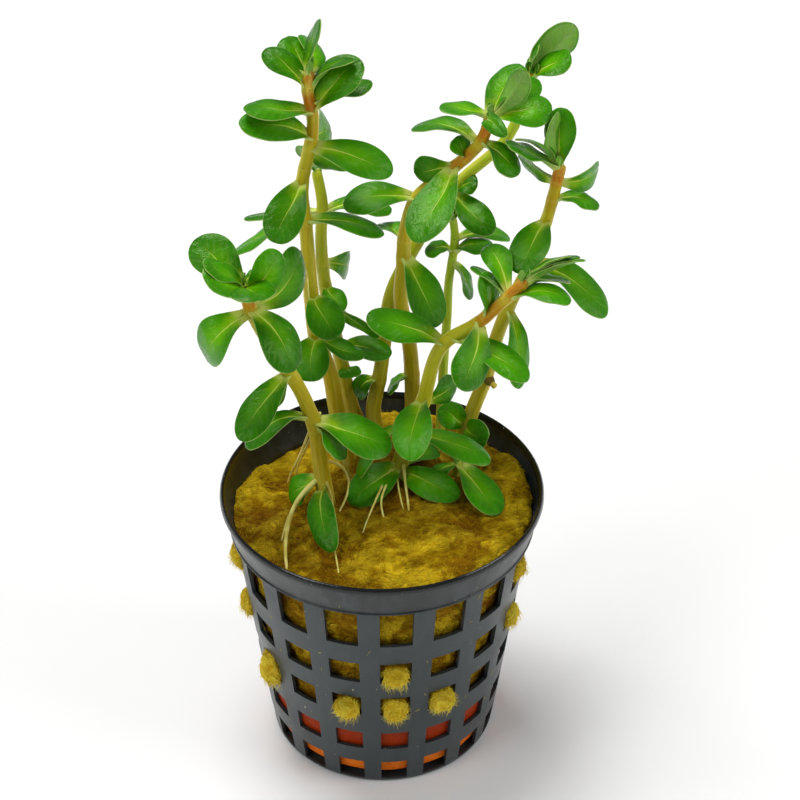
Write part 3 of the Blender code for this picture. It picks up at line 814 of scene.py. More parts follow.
# Some dry spots, those by the wall at the left and right, are also painted light: they brighten
# wool that the wall and the leaves shade.
WOOL_DRY_AND_LIT_SPOTS = (           # the same for the places that are dry and straw-coloured
    (2.0, -19.0, 5.0, 0.9), (20.5, 6.0, 4.0, 1.0), (-16.0, 5.0, 6.0, 0.7), (9.0, -14.0, 5.0, 0.5),
    (-13.0, -15.5, 4.0, 0.5), (17.0, -7.0, 5.0, 0.8), (-3.0, -12.0, 5.0, 0.4),
    (20.0, -2.0, 5.0, 0.7), (-20.5, 3.0, 5.0, 0.8), (-14.0, 11.0, 5.0, 0.8),
)


WOOL_NOISE = (               # size of the largest lumps, octaves and offset of the clods,
    (6.0, 2, 3.0), (2.2, 3, 7.0), (0.7, 2, 11.0))            # the lumps and the tousle
WALL_SINKING = 0.35          # how far the wool lies back behind the wall's ribs


def spread(points, spots):
    """Sum of soft round spots at each point."""
    x, y = points[:, 0], points[:, 1]
    return sum(strength * np.exp(-((x - spot_x) ** 2 + (y - spot_y) ** 2) / reach ** 2)
               for spot_x, spot_y, reach, strength in spots)


def wetness(points):
    """0 where the wool is dry and where light is painted on it, 1 where it is soaked."""
    wet, dry_and_lit = spread(points, WOOL_WET_SPOTS), spread(points, WOOL_DRY_AND_LIT_SPOTS)
    return np.clip(0.35 + wet - 0.45 * dry_and_lit, 0, 1)


def roughen_wool(piece):
    """Lumps and tousle along the normals, and their depth as an attribute."""
    points, normals = read_points(piece.data)
    radius = np.hypot(points[:, 0], points[:, 1])
    skin = skin_radius(points[:, 2])
    on_top = np.clip((normals[:, 2] - 0.2) / 0.4, 0, 1)
    outside = np.clip((radius - skin + 0.2) / 0.6, 0, 1)
    free = np.maximum(on_top, outside)
    clods, lumps, tousle = (fractal(points, *kind) for kind in WOOL_NOISE)
    height = 0.26 * clods * free + 0.24 * lumps + 0.20 * tousle
    height = np.where(free < 0.5, np.minimum(height, 0.15), height)
    moved = -WALL_SINKING * (1 - free) + height
    write_points(piece.data, points + normals * moved[:, None])
    give_attribute(piece.data, "depth", 0.5 + 0.55 * clods + 0.5 * lumps + 0.25 * tousle)
    give_attribute(piece.data, "wet", wetness(points) * (1 - outside))
    give_attribute(piece.data, "tuft", outside)


WOOL_BROWN = (0.13, 0.045, 0.0004)
WOOL_OCHRE = (0.70, 0.44, 0.002)
WOOL_WET = (0.19, 0.072, 0.0008)
WOOL_STRAW = (0.92, 0.73, 0.04)
TUFT_OCHRE = (0.66, 0.40, 0.006)
TUFT_STRAW = (1.0, 0.83, 0.08)


def flowing(tree, size, reach):
    """The place bent by noise of a given size, so that a stretched pattern flows about."""
    place = position(tree)
    scale = 1.0 / size
    bend = add(tree, "ShaderNodeTexNoise", {"Vector": place, "Scale": scale, "Detail": 1.0})
    sockets = {0: bend.outputs["Color"], 1: (reach, reach, reach), 2: place}
    return add(tree, "ShaderNodeVectorMath", sockets, operation="MULTIPLY_ADD").outputs[0]


def wool_finish(name, fibres=False):
    """Wet ochre wool: painted shade browns its hollows, painted light brightens its crests, and it
    is matted in flowing strands.
    """
    finish, tree, shader = new_finish(name, {"Specular IOR Level": 0.06})
    place = position(tree)
    cloud = mottle(tree, place, patches=9.0, grain=0.22)
    flow = add(tree, "ShaderNodeMapping", {"Vector": flowing(tree, 5.0, 9.0),
                                           "Scale": (0.5, 1.8, 1.8)}).outputs[0]
    strands = mottle(tree, flow, patches=1.4, grain=0.3)
    # painted shade and light: the hollows are painted brown and the crests brighter and
    # straw-coloured, also on the tufts; on the fibres the depth is a tone of their own
    crest = fade(tree, attribute(tree, "depth"), 0.25, 0.85)
    tone = plus(tree, times(tree, crest, 0.42), times(tree, strands["Patches"], 0.38))
    tone = scaled(tree, cloud["Patches"], 0.28, tone)
    # painted shade: the wool below the rim, inside the pot behind its wall, is painted browner
    low = fade(tree, level(tree, place), 41.0, 38.5, 0.0, 0.3)
    soaked = scaled(tree, cloud["Patches"], 0.55, 0.45)
    wet = times(tree, attribute(tree, "wet"), soaked)
    bright = times(tree, strands["Grain"], times(tree, crest, 0.5))
    outer = scaled(tree, strands["Patches"], 0.5, times(tree, crest, 0.6))
    tuft = mixed(tree, outer, TUFT_OCHRE, TUFT_STRAW)
    colour = layered(tree, WOOL_BROWN, (tone, WOOL_OCHRE), (low, WOOL_BROWN), (wet, WOOL_WET),
                     (bright, WOOL_STRAW), (attribute(tree, "tuft"), tuft))
    give_colour(tree, shader, colour, scaled(tree, cloud["Patches"], -0.2, 0.85))
    if not fibres:
        relief(tree, shader, scaled(tree, strands["Grain"], 0.5, strands["Patches"]), 0.3)
    return finish


def make_wool():
    """The block with its tufts, melted together and roughened."""
    tufts = [tuft_ball(*tuft) for tuft in TUFTS]
    points, faces = joined((body_points, body_faces), *tufts)
    piece = make_piece("stone_wool_block", points, faces, wool_finish("wet_wool"))
    melt = piece.modifiers.new("melt", "REMESH")
    melt.mode = "VOXEL"
    melt.voxel_size = VOXEL * MM
    melt.use_smooth_shade = True
    apply_modifiers(piece)
    roughen_wool(piece)
    return piece


wool = make_wool()
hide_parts("stone_wool")
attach(wool, BODY)
print("wool", len(wool.data.polygons), "faces")

# %% [markdown]
# Loose fibres stand off the skin and give the wool its soft, frayed outline. Each is a thin
# tapered tube of three sides, and they start at random points of the skin. Spun wool is
# combed: neighbouring fibres run nearly the same way, so their direction is read from
# smooth noise and only scattered a little. On the top they lie flat, and those of the
# tufts stick out and droop. The random numbers are seeded, but Blender starts its noise
# vectors anew in every session, so the strands run another way each time.

# %% Fibres of the wool
FIBRE_RADIUS = 0.034
FIBRE_END = 0.35             # radius at a fibre's end, as a share of that at its root
FIBRE_KINDS = {              # count, length, lift off the skin, droop, scatter, brightness
    "top": (6500, 1.4, 0.03, 0.0, 1.3, 0.7), "side": (3000, 1.6, 0.04, 0.1, 0.7, 0.6),
    "tuft": (2800, 1.2, 0.25, 0.6, 0.7, 0.9),
}
FIBRE_SIDES = 3
FIBRE_RINGS = 5
FIBRE_BEND = 0.25            # how much a fibre curves, as a share of its length
COMB_SIZE = 4.0              # how far fibres keep one direction
COMB_SCATTER = 0.35          # how far they stray from it


def tubes(courses, radii, sides, aside=(0.31, 0.22, 0.93)):
    """Points and faces of many tubes at once.

    The courses are (tubes, rings, 3), the radii (tubes, rings) or, for tubes that aren't
    round, (tubes, rings, sides). Aside is a direction that no course takes.
    """
    courses = np.asarray(courses, float)
    radii = np.asarray(radii, float)
    radii = radii.reshape(*courses.shape[:2], -1, 1)
    along = np.gradient(courses, axis=1)
    along /= np.linalg.norm(along, axis=2, keepdims=True) + 1e-9
    across = np.cross(along, np.array(aside))
    across /= np.linalg.norm(across, axis=2, keepdims=True) + 1e-9
    third = np.cross(along, across)
    turns = np.linspace(0, 2 * math.pi, sides, endpoint=False)
    circle = (across[:, :, None] * np.cos(turns)[None, None, :, None]
              + third[:, :, None] * np.sin(turns)[None, None, :, None])
    points = courses[:, :, None] + circle * radii
    count, rings = courses.shape[:2]
    faces = []
    for tube in range(count):
        faces += grid_faces(rings, sides, tube * rings * sides)
    return points.reshape(-1, 3), faces


def combed(points, rng, scatter):
    """The way the fibres run at each point: one smooth field, a little scattered."""
    field = [noise.noise_vector(Vector(point) / COMB_SIZE) for point in points.tolist()]
    return np.array(field) + COMB_SCATTER * scatter * rng.normal(size=points.shape)


def grow_fibres(roots, normals, lengths, lift, droop, scatter, rng):
    """Curved courses from roots: mostly along the skin, lifted from it and drooping."""
    aim = combed(roots, rng, scatter)
    aim -= (aim * normals).sum(1, keepdims=True) * normals
    aim /= np.linalg.norm(aim, axis=1, keepdims=True) + 1e-9
    bend = rng.normal(size=roots.shape) * FIBRE_BEND
    bend -= (bend * normals).sum(1, keepdims=True) * normals * (1 - lift)
    steps = np.linspace(0, 1, FIBRE_RINGS)[None, :, None]
    reach = lengths[:, None, None]
    course = roots[:, None] + reach * steps * (aim[:, None] + normals[:, None] * lift)
    course += reach * steps ** 2 * bend[:, None]
    course[:, :, 2] -= (reach * droop * steps ** 2)[:, :, 0]
    return course


def fibre_piece(name, courses, brightness, finish, rng, tuft=0.0):
    """One piece of fibres from their courses, with the numbers that the finish reads."""
    thickness = rng.uniform(0.6, 1.3, (len(courses), 1))
    taper = np.linspace(1.0, FIBRE_END, FIBRE_RINGS)[None] * thickness
    points, faces = tubes(courses, FIBRE_RADIUS * taper, FIBRE_SIDES)
    piece = make_piece(name, points, faces, finish)
    tone = rng.uniform(brightness - 0.5, brightness + 0.5, len(courses))
    give_attribute(piece.data, "depth", np.repeat(tone, FIBRE_RINGS * FIBRE_SIDES))
    give_attribute(piece.data, "wet", 0.6 * wetness(points) * (1 - tuft))
    give_attribute(piece.data, "tuft", np.full(len(points), tuft))
    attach(piece, BODY)
    return piece


def make_fibres(finish, rng):
    """Fibres on the top, behind the windows and in the tufts, as three pieces."""
    points, normals = read_points(wool.data)
    radius = np.hypot(points[:, 0], points[:, 1])
    places = {
        "top": (normals[:, 2] > 0.35) & (points[:, 2] > 30),
        "side": (np.abs(normals[:, 2]) < 0.6) & (radius < skin_radius(points[:, 2]) - 0.4),
        "tuft": radius > skin_radius(points[:, 2]) - 0.2,
    }
    pieces = []
    for place, (count, longest, lift, droop, scatter, brightness) in FIBRE_KINDS.items():
        chosen = rng.choice(np.flatnonzero(places[place]), count)
        lengths = longest * rng.uniform(0.35, 1.0, count)
        courses = grow_fibres(points[chosen], normals[chosen], lengths, lift, droop, scatter, rng)
        pieces.append(fibre_piece(f"wool_{place}_fibres", courses, brightness, finish, rng,
                                  float(place == "tuft")))
    return pieces


STRAY_FIBRES = 170
STRAY_HEIGHTS = (6.0, POT_HEIGHT - 2.5)
STRAY_OFFSET = 0.03          # how far off the wall they start


def make_stray_fibres(finish, rng):
    """Short bits of wool that cling to the outside of the pot."""
    angles = rng.uniform(0, 2 * math.pi, STRAY_FIBRES)
    heights = rng.uniform(*STRAY_HEIGHTS, STRAY_FIBRES)
    step = 360.0 / COLUMNS
    turn = (np.degrees(angles) - FIRST_COLUMN + step / 2) % step - step / 2
    on_rib = (np.abs(turn) > WINDOW_ANGLE / 2 + 0.8) | (heights > BAND_BOTTOM + 1.0)
    angles, heights = angles[on_rib], heights[on_rib]
    outwards = np.stack((np.cos(angles), np.sin(angles), 0 * angles), axis=1)
    roots = outwards * (skin_radius(heights) + STRAY_OFFSET)[:, None]
    roots[:, 2] = heights
    lengths = rng.uniform(0.25, 0.9, len(roots))
    courses = grow_fibres(roots, outwards, lengths, 0.05, 0.0, 2.0, rng)
    return fibre_piece("stray_fibres", courses, 1.0, finish, rng, 1.0)


fibre_dice = np.random.default_rng(41)
fibre_finish = wool_finish("wool_fibre", True)
fibres = make_fibres(fibre_finish, fibre_dice)
fibres.append(make_stray_fibres(fibre_finish, fibre_dice))
print("fibres", [len(piece.data.polygons) for piece in fibres], "faces")

# %% [markdown]
# ## The stems
# An Indian toothcup is a stem plant: cuttings are stuck into the wool, root there and grow
# up to the light. Nine stems of unlike age stand in this pot. Each has a route of points
# that were picked in the photograph, with a guessed depth, and worked out into
# millimetres through the camera above. A smooth curve runs through them. The routes are
# those of the solid model, so each stem lies where its solid does.

# %% The courses of the stems
# One stem: radius at the foot and at the tip, then its course from the wool up.
STEMS = {
    "front_left": (1.35, 1.0, (
        (-8.5, 0.0, 43.0), (-9.0, -0.5, 47.0), (-9.5, -0.5, 52.5), (-10.0, -0.5, 58.0),
        (-12.0, -0.5, 64.5), (-13.5, -1.0, 68.0), (-16.0, -2.0, 73.5), (-18.5, -2.5, 79.5),
        (-19.5, -3.0, 84.5))),
    "tall_left": (1.45, 0.9, (
        (-5.5, 11.5, 43.0), (-7.0, 12.0, 51.5), (-8.0, 12.0, 59.5), (-10.0, 12.0, 65.5),
        (-10.5, 12.0, 74.0), (-11.0, 12.0, 86.0), (-11.5, 12.0, 91.5), (-10.5, 12.0, 96.5),
        (-9.5, 12.0, 101.0), (-9.5, 12.0, 104.5), (-10.5, 12.0, 108.0), (-9.5, 12.0, 110.5))),
    "back_left": (1.35, 0.9, (
        (-3.0, 16.0, 43.0), (-5.0, 16.0, 50.5), (-6.0, 16.5, 56.5), (-8.5, 17.0, 71.5),
        (-9.0, 18.0, 81.0), (-8.5, 18.0, 85.0), (-9.5, 19.0, 91.0))),
    "middle": (1.35, 0.95, (
        (5.0, 17.0, 43.0), (5.0, 17.5, 50.5), (4.5, 16.5, 61.0), (3.0, 15.5, 70.0),
        (3.5, 15.0, 77.0), (3.5, 15.0, 81.0), (5.0, 15.0, 88.0), (7.5, 15.0, 90.5),
        (11.0, 15.0, 93.5), (14.5, 14.0, 97.5), (15.5, 14.0, 100.0), (16.0, 14.0, 102.5))),
    "back_right": (1.3, 0.85, (
        (0.0, 14.0, 43.0), (-1.5, 15.0, 49.0), (-0.5, 15.5, 54.0), (0.5, 16.5, 61.0),
        (1.5, 18.0, 69.5), (5.0, 19.5, 76.5), (9.0, 20.5, 83.5), (13.0, 21.5, 88.5),
        (16.5, 22.5, 91.0), (20.0, 23.5, 95.0), (22.5, 25.0, 103.5))),
    "right": (1.3, 0.95, (
        (12.5, 13.5, 43.0), (15.0, 14.0, 52.0), (16.5, 14.0, 56.5), (17.5, 14.0, 62.5),
        (19.5, 14.0, 69.5), (22.5, 14.0, 77.0), (24.5, 14.0, 84.0), (25.5, 14.0, 88.5),
        (26.0, 14.0, 92.0), (26.5, 14.0, 94.5))),
    "front_right": (1.35, 0.95, (
        (2.5, 6.5, 43.0), (4.0, 6.0, 50.5), (6.5, 5.0, 58.5), (7.0, 4.5, 62.0),
        (9.0, 4.0, 69.5), (14.5, 3.0, 74.0), (17.5, 2.0, 78.0), (21.0, 1.0, 82.5))),
    "thin_pale": (0.85, 0.7, (
        (9.5, 18.5, 43.0), (10.0, 19.0, 57.5), (10.5, 20.0, 65.0), (10.5, 20.0, 70.0),
        (11.5, 20.0, 78.0), (11.0, 20.0, 82.0))),
    "low_shoot": (0.9, 0.7, (
        (11.5, 5.5, 43.0), (12.0, 5.0, 47.0))),
}

ROOT_HEIGHT = 34.0           # the stems are planted down to this height
ROOT_LEAN = 0.9              # and stand this much nearer the pot's axis there
CURVE_STEPS = 20             # steps of the curve from one point of a route to the next
COURSE_STEP = 0.5            # distance between two rings of a stem
COURSE_EASING = 24           # passes that take the kinks out of a course


def smooth_course(points):
    """Evenly spaced points on a smooth curve through a stem's own points."""
    knots = np.array(points, float)
    knots = np.vstack((2 * knots[0] - knots[1], knots, 2 * knots[-1] - knots[-2]))
    t = np.linspace(0, 1, CURVE_STEPS, endpoint=False)[:, None]
    curve = [0.5 * (2 * start + (end - before) * t
                    + (2 * before - 5 * start + 4 * end - after) * t ** 2
                    + (3 * start - before - 3 * end + after) * t ** 3)
             for before, start, end, after in zip(knots, knots[1:], knots[2:], knots[3:])]
    curve = np.vstack(curve + [knots[-2:-1]])
    reach = reach_along(curve)
    targets = np.linspace(0, reach[-1], round(reach[-1] / COURSE_STEP) + 1)
    course = np.stack([np.interp(targets, reach, curve[:, axis]) for axis in range(3)], axis=1)
    for _ in range(COURSE_EASING):
        course[1:-1] = (course[:-2] + 2 * course[1:-1] + course[2:]) / 4
    return course


def reach_along(course):
    """Length of a course from its start to each of its points."""
    steps = np.linalg.norm(np.diff(course, axis=0), axis=1)
    return np.concatenate(([0.0], np.cumsum(steps)))


def stem_course(stem):
    """The middle of a stem from its foot inside the wool to its tip."""
    x, y, _ = STEMS[stem][2][0]
    return smooth_course([(ROOT_LEAN * x, ROOT_LEAN * y, ROOT_HEIGHT), *STEMS[stem][2]])


courses = {stem: stem_course(stem) for stem in STEMS}
for stem, course in courses.items():
    print(stem, round(reach_along(course)[-1]), "mm long")

# %% [markdown]
# The leaves sit on the stems in opposite pairs, and each pair is turned a quarter from the
# one below. Old pairs have lost a leaf here and there. Every leaf is one row of numbers:
# where it sits, where it points, and its own size. The rows were first read from
# the photograph, through the camera above. A small fitting program then nudged most of
# them, until the outline of each leaf met points that were picked on it in the photograph.

# %% The leaves of each stem
# Leaves of each stem, in opposite pairs where both are open:
# height on the stem, compass, rise, length, width, arch, roll.
# Compass, rise and length are those of the line from the stem's middle to the
# leaf's tip, the arch is how far the blade bows above that line, and the roll
# turns the blade about it.
LEAVES = {
    "front_left": (
        (46.0, -85, -5, 13.5, 4.8, 2.0, 30), (48.0, -175, -35, 6.5, 4.8, 0.6, -20),
        (59.5, -155, -10, 11.0, 5.2, 1.8, 10), (58.5, -20, -10, 12.5, 6.8, 1.2, 10),
        (68.0, -125, -20, 13.0, 5.6, 0.6, -5), (79.5, -165, -45, 10.0, 6.6, 3.2, -30),
        (80.0, -50, -30, 11.0, 6.8, 1.6, 0), (80.5, 45, 25, 11.5, 6.8, 1.8, 85),
        (84.0, -70, 20, 7.5, 6.8, 0.6, 0)),
    "tall_left": (
        (65.5, -95, -10, 9.5, 6.0, 1.2, -5), (73.0, -65, -20, 8.5, 5.8, 1.4, 5),
        (86.0, -15, 0, 12.0, 5.2, 1.0, 0), (86.0, -170, -20, 12.0, 5.4, 0.4, 10),
        (92.5, -110, -20, 11.5, 5.8, 0.8, -15), (98.5, -15, -10, 12.5, 5.6, 1.4, 30),
        (100.0, -145, 25, 13.0, 5.8, 1.4, -30), (104.0, -145, 20, 11.5, 5.0, 0.2, -15)),
    "back_left": (
        (60.5, -30, 10, 9.5, 5.0, 0.8, 10), (69.5, -25, -30, 10.0, 3.6, 0.2, 115),
        (84.0, 175, -5, 12.0, 4.8, 0.2, 10), (84.0, 5, 0, 10.5, 5.2, 1.0, 0)),
    "middle": (
        (78.0, -60, -35, 12.0, 6.8, 0.4, -10), (88.0, -165, 5, 11.0, 6.0, 0.8, -15),
        (93.5, 180, -10, 6.0, 4.6, 0.6, -85), (93.5, -115, -20, 14.5, 6.8, 0.2, 5),
        (97.5, 155, 5, 10.5, 5.2, 1.2, 0), (98.0, -40, -25, 7.5, 5.0, 0.8, -5)),
    "back_right": (
        (86.0, -55, -15, 10.0, 5.2, 0.2, 5),),
    "right": (
        (69.0, -80, -40, 12.5, 5.4, 0.8, -35), (77.5, -25, -25, 14.0, 6.4, 1.4, 10),
        (84.5, -115, -15, 11.0, 6.0, 1.2, 0), (88.5, -5, -5, 7.0, 4.2, 0.6, 0)),
    "front_right": (
        (45.0, -135, -5, 11.0, 5.6, 1.6, -40), (43.8, -40, 5, 12.0, 5.0, 1.6, 40),
        (52.0, -25, -5, 13.5, 5.6, 1.0, 5), (53.0, -150, -30, 11.5, 5.8, 1.8, 25),
        (58.5, -100, -5, 13.0, 6.2, 1.0, 15), (69.5, -170, 30, 13.0, 5.8, 0.8, -25),
        (74.0, -105, -30, 11.0, 6.6, 0.4, -45), (79.5, -25, 10, 9.5, 4.6, 1.2, 5),
        (71.0, -35, -10, 13.5, 5.2, 0.6, 5)),
    "thin_pale": (),
    "low_shoot": (
        (46.0, -60, -10, 11.5, 6.2, 0.4, -5),),
}

# The young leaves at the tips, the small ones and those behind the others, which are one
# piece with their stem in the solid model. The columns are the same.
SMALL_LEAVES = {
    "front_left": (
        (57.5, -50, -15, 7.0, 4.8, 0.8, -20), (67.0, 150, -65, 7.0, 5.0, 0.8, 0),
        (84.0, -135, 34, 8.5, 6.0, 1.0, -40), (84.0, 15, 45, 7.5, 5.0, 2.0, 85),
        (84.0, 145, 30, 10.0, 6.4, 0.6, -30), (84.5, -146, 44, 8.0, 4.6, 0.4, -14),
        (84.5, 20, 35, 3.6, 3.0, 0.3, -10)),
    "tall_left": (
        (65.0, -35, 0, 8.5, 4.4, 0.2, 0), (95.0, 95, -15, 6.5, 4.6, 1.2, 50),
        (98.0, 15, -35, 7.5, 5.2, 0.2, 130), (100.0, 65, -15, 6.5, 6.4, 0.2, 75),
        (105.0, 20, 15, 9.5, 4.8, 0.2, -5), (109.5, 120, 35, 7.0, 5.4, 0.4, 0),
        (110.0, 95, 30, 6.5, 5.0, 0.6, 50), (110.0, -15, 80, 8.5, 4.4, 0.2, 25),
        (104.5, 10, 45, 10.0, 6.4, 1.0, 35), (108.0, 170, 40, 8.0, 4.0, 1.4, -30),
        (107.5, 5, 35, 8.0, 3.6, 1.0, -10)),
    "back_left": (
        (56.5, -60, 10, 3.5, 4.0, 0.6, 0), (71.5, -65, -10, 6.0, 3.8, 0.8, 0),
        (75.5, 60, -30, 9.0, 4.6, 1.2, 80)),
    "middle": (
        (55.0, -150, -25, 5.0, 4.0, 0.4, 25), (81.0, 130, 5, 5.5, 4.0, 0.6, 0),
        (95.0, 165, 65, 3.5, 4.2, 0.6, -15), (101.0, -75, 15, 8.0, 2.6, 2.0, 35),
        (102.0, 180, 15, 7.5, 4.6, 0.2, 5), (102.0, 35, 20, 9.5, 4.4, 0.6, 30),
        (102.0, 5, 10, 9.0, 6.4, 0.6, 30), (102.5, -25, 55, 9.5, 4.2, 0.6, -105),
        (102.0, 50, 40, 9.0, 5.8, 1.0, -10)),
    "back_right": (
        (55.0, -160, -25, 4.5, 4.4, 0.8, -5), (86.5, -20, 25, 4.0, 4.0, 0.4, 30),
        (103.0, 30, 40, 10.0, 6.6, 0.4, -90), (103.0, -10, 35, 7.0, 5.2, 0.2, 15),
        (103.0, 60, 65, 5.0, 2.6, 0.2, -40)),
    "right": (
        (47.5, -65, 10, 6.5, 5.2, 1.2, 60), (47.5, 180, 35, 5.5, 4.4, 1.4, -65),
        (91.5, 35, 0, 8.0, 4.4, 1.6, 100), (93.5, -160, 35, 10.5, 4.6, 0.2, -5),
        (94.0, 150, 70, 7.0, 3.4, 0.3, 0), (94.0, -145, 80, 9.5, 3.6, 0.4, 105),
        (94.0, 105, 85, 9.0, 4.8, 0.6, 0), (91.5, 135, 10, 8.0, 3.8, 0.2, -110),
        (93.0, 140, 20, 8.5, 3.8, 1.2, 30)),
    "front_right": (
        (44.5, 35, 5, 7.5, 5.0, 0.8, 0), (58.5, 25, 20, 6.0, 4.6, 0.8, 90),
        (75.0, 105, 85, 7.5, 4.6, 1.0, 70), (79.0, 145, 30, 7.0, 4.2, 0.4, 25),
        (79.5, 110, 25, 9.5, 4.2, 1.4, -15), (82.0, 10, 20, 9.5, 4.0, 0.4, -40),
        (82.0, 5, 35, 8.0, 3.8, 0.2, -40), (82.0, 20, -10, 7.5, 4.0, 0.4, -15),
        (82.0, 15, 20, 9.0, 4.0, 1.0, -25)),
    "thin_pale": (
        (74.0, -50, -45, 6.5, 4.6, 0.6, -35), (76.0, -20, 20, 6.5, 4.4, 0.8, 0),
        (76.0, -170, 5, 4.5, 4.0, 0.8, 0), (78.0, 15, -5, 9.0, 4.2, 1.0, 0)),
    "low_shoot": (
        (46.0, -140, 0, 5.5, 3.0, 0.6, 0), (46.0, 60, 30, 5.0, 4.0, 0.5, 0)),
}


def leaf_rows(stem):
    """All leaves of a stem, the open ones first."""
    return LEAVES[stem] + SMALL_LEAVES[stem]


print(sum(len(leaf_rows(stem)) for stem in STEMS), "leaves")

# %% [markdown]
# A stem is a tube that thins from foot to tip and swells a little at each node, where its
# leaves sit. It isn't quite round: four faint ribs run up from pair to pair. The mesh
# carries what the finish needs at each point: the place round and along the stem, the
# distance to the nearest node, and how green, brown or red the stem is there.

# %% Make the stems
STALK_SIDES = 24
NODE_SWELL = 0.07
NODE_REACH = 0.9             # half length of the swelling
TIP_SLIMNESS = 0.88          # the juicy tip is a little slimmer than its solid
TIP_CLOSING = 0.98           # how nearly the rounded tip closes
RIB = 0.02                   # height of the four ribs as a share of the radius
STEM_TINTS = {               # green at the foot and tip, brown at the foot and tip
    "front_left": (0.0, 0.35, 0.35, 0.0), "tall_left": (0.0, 0.35, 0.5, 0.0),
    "back_left": (0.15, 0.7, 0.8, 0.1), "middle": (0.1, 0.2, 0.55, 0.0),
    "back_right": (0.0, 1.0, 0.9, -0.3), "right": (0.25, 0.3, 0.45, 0.0),
    "front_right": (0.45, 0.45, 0.1, 0.0), "thin_pale": (0.9, 1.0, 0.0, 0.0),
    "low_shoot": (0.6, 0.9, 0.2, 0.0),
}
BLUSH = {                    # stretches that redden: lowest and highest point, how much
    "tall_left": ((99.5, 103.2, 0.35), (104.0, 107.5, 1.0), (108.9, 110.8, 1.0)),
    "middle": ((92.0, 97.0, 0.7), (98.5, 102.0, 0.95)),
    "right": ((87.0, 90.0, 0.4), (91.0, 94.5, 1.0)),
    "front_right": ((74.0, 78.6, 0.8), (79.4, 84.0, 1.0)), "front_left": ((80.5, 84.5, 0.9),),
    "back_right": ((101.5, 105.0, 0.8),),
}
BLUSH_EASE = 1.6             # length over which the red sets in


def node_distances(stem, course):
    """Distance along the stem from each ring to its nearest node."""
    reach = reach_along(course)
    heights = [row[0] for row in leaf_rows(stem)] or [course[-1][2]]
    nodes = np.interp(heights, course[:, 2], reach)
    return np.abs(reach[:, None] - nodes[None]).min(axis=1)


def ring_turns():
    """Angles of the points of one ring of a stem."""
    return np.linspace(0, 2 * math.pi, STALK_SIDES, endpoint=False)


def stalk_radii(stem, course):
    """Radius of every point: an even taper, swollen nodes, ribs and a rounded tip."""
    foot_radius, tip_radius, _ = STEMS[stem]
    radii = np.linspace(foot_radius, TIP_SLIMNESS * tip_radius, len(course))
    radii *= 1 + NODE_SWELL * np.exp(-(node_distances(stem, course) / NODE_REACH) ** 2)
    left = reach_along(course)[-1] - reach_along(course)
    radii *= np.sqrt(1 - np.clip(1 - left / tip_radius, 0, TIP_CLOSING) ** 2)
    return radii[:, None] * (1 + RIB * np.cos(4 * ring_turns()))


def between(heights, low, high):
    """1 between two heights and 0 away from them, with soft ends."""
    return np.clip(np.minimum(heights - low, high - heights) / BLUSH_EASE + 0.5, 0, 1)


STEM_OCHRE = (0.64, 0.43, 0.006)
STEM_OLIVE = (0.40, 0.36, 0.006)
STEM_CREAM = (0.84, 0.73, 0.13)
STEM_GREEN = (0.42, 0.60, 0.03)
STEM_BROWN = (0.17, 0.075, 0.003)
STEM_RED = (0.50, 0.092, 0.005)
STEM_MARK = (0.09, 0.02, 0.004)


def stem_finish():
    """Juicy ochre stem: lengthwise streaks, brown marks at the nodes and a painted pale rim where
    it turns away from the view.
    """
    finish, tree, shader = new_finish("toothcup_stem", {
        "Roughness": 0.36, "Specular IOR Level": 0.26, "Subsurface Weight": 0.2,
        "Subsurface Scale": 0.8 * MM, "Specular Tint": (1.0, 0.93, 0.55, 1.0)})
    lengthwise = add(tree, "ShaderNodeCombineXYZ", {
        "X": attribute(tree, "around_x"), "Y": attribute(tree, "around_y"),
        "Z": times(tree, attribute(tree, "along_mm"), 0.07)}).outputs[0]
    place = position(tree)
    streaks = mottle(tree, lengthwise, patches=0.6, grain=0.2)
    sides = mottle(tree, lengthwise, patches=1.6, grain=0.4)
    cloud = mottle(tree, place, patches=5.0, grain=0.3)
    olive = times(tree, streaks["Patches"], 0.6)
    brown = times(tree, attribute(tree, "brown"), scaled(tree, cloud["Patches"], 0.4, 0.6))
    cream = fade(tree, sides["Patches"], 0.35, 0.95, 0.0, 0.45)
    cracks = fade(tree, streaks["Grain"], 0.62, 0.95, 0.0, 0.2)
    red = times(tree, attribute(tree, "blush"), scaled(tree, streaks["Patches"], 0.35, 0.62))
    red = times(tree, red, fade(tree, cloud["Grain"], 0.1, 0.6, 0.75, 1.0))
    node = attribute(tree, "node_mm")
    pale_node = times(tree, fade(tree, node, 0.1, 0.45, 1.0, 0.0), 0.12)
    marks = times(tree, speckle(tree, place, spacing=0.7, size=0.13, share=0.4),
                  fade(tree, node, 0.3, 1.6, 0.85, 0.02))
    # painted light: a pale cream rim where the stem turns away from the view, standing in for light
    # through its clear skin
    facing = add(tree, "ShaderNodeLayerWeight", {"Blend": 0.5}).outputs["Facing"]
    colour = layered(
        tree, STEM_OCHRE, (olive, STEM_OLIVE), (attribute(tree, "green"), STEM_GREEN),
        (brown, STEM_BROWN), (cream, STEM_CREAM), (cracks, STEM_BROWN), (red, STEM_RED),
        (pale_node, STEM_CREAM), (marks, STEM_MARK),
        (fade(tree, facing, 0.5, 0.9, 0.0, 0.6), STEM_CREAM))
    give_colour(tree, shader, colour)
    relief(tree, shader, plus(tree, streaks["Patches"], times(tree, cloud["Grain"], 0.3)), 0.035)
    return finish


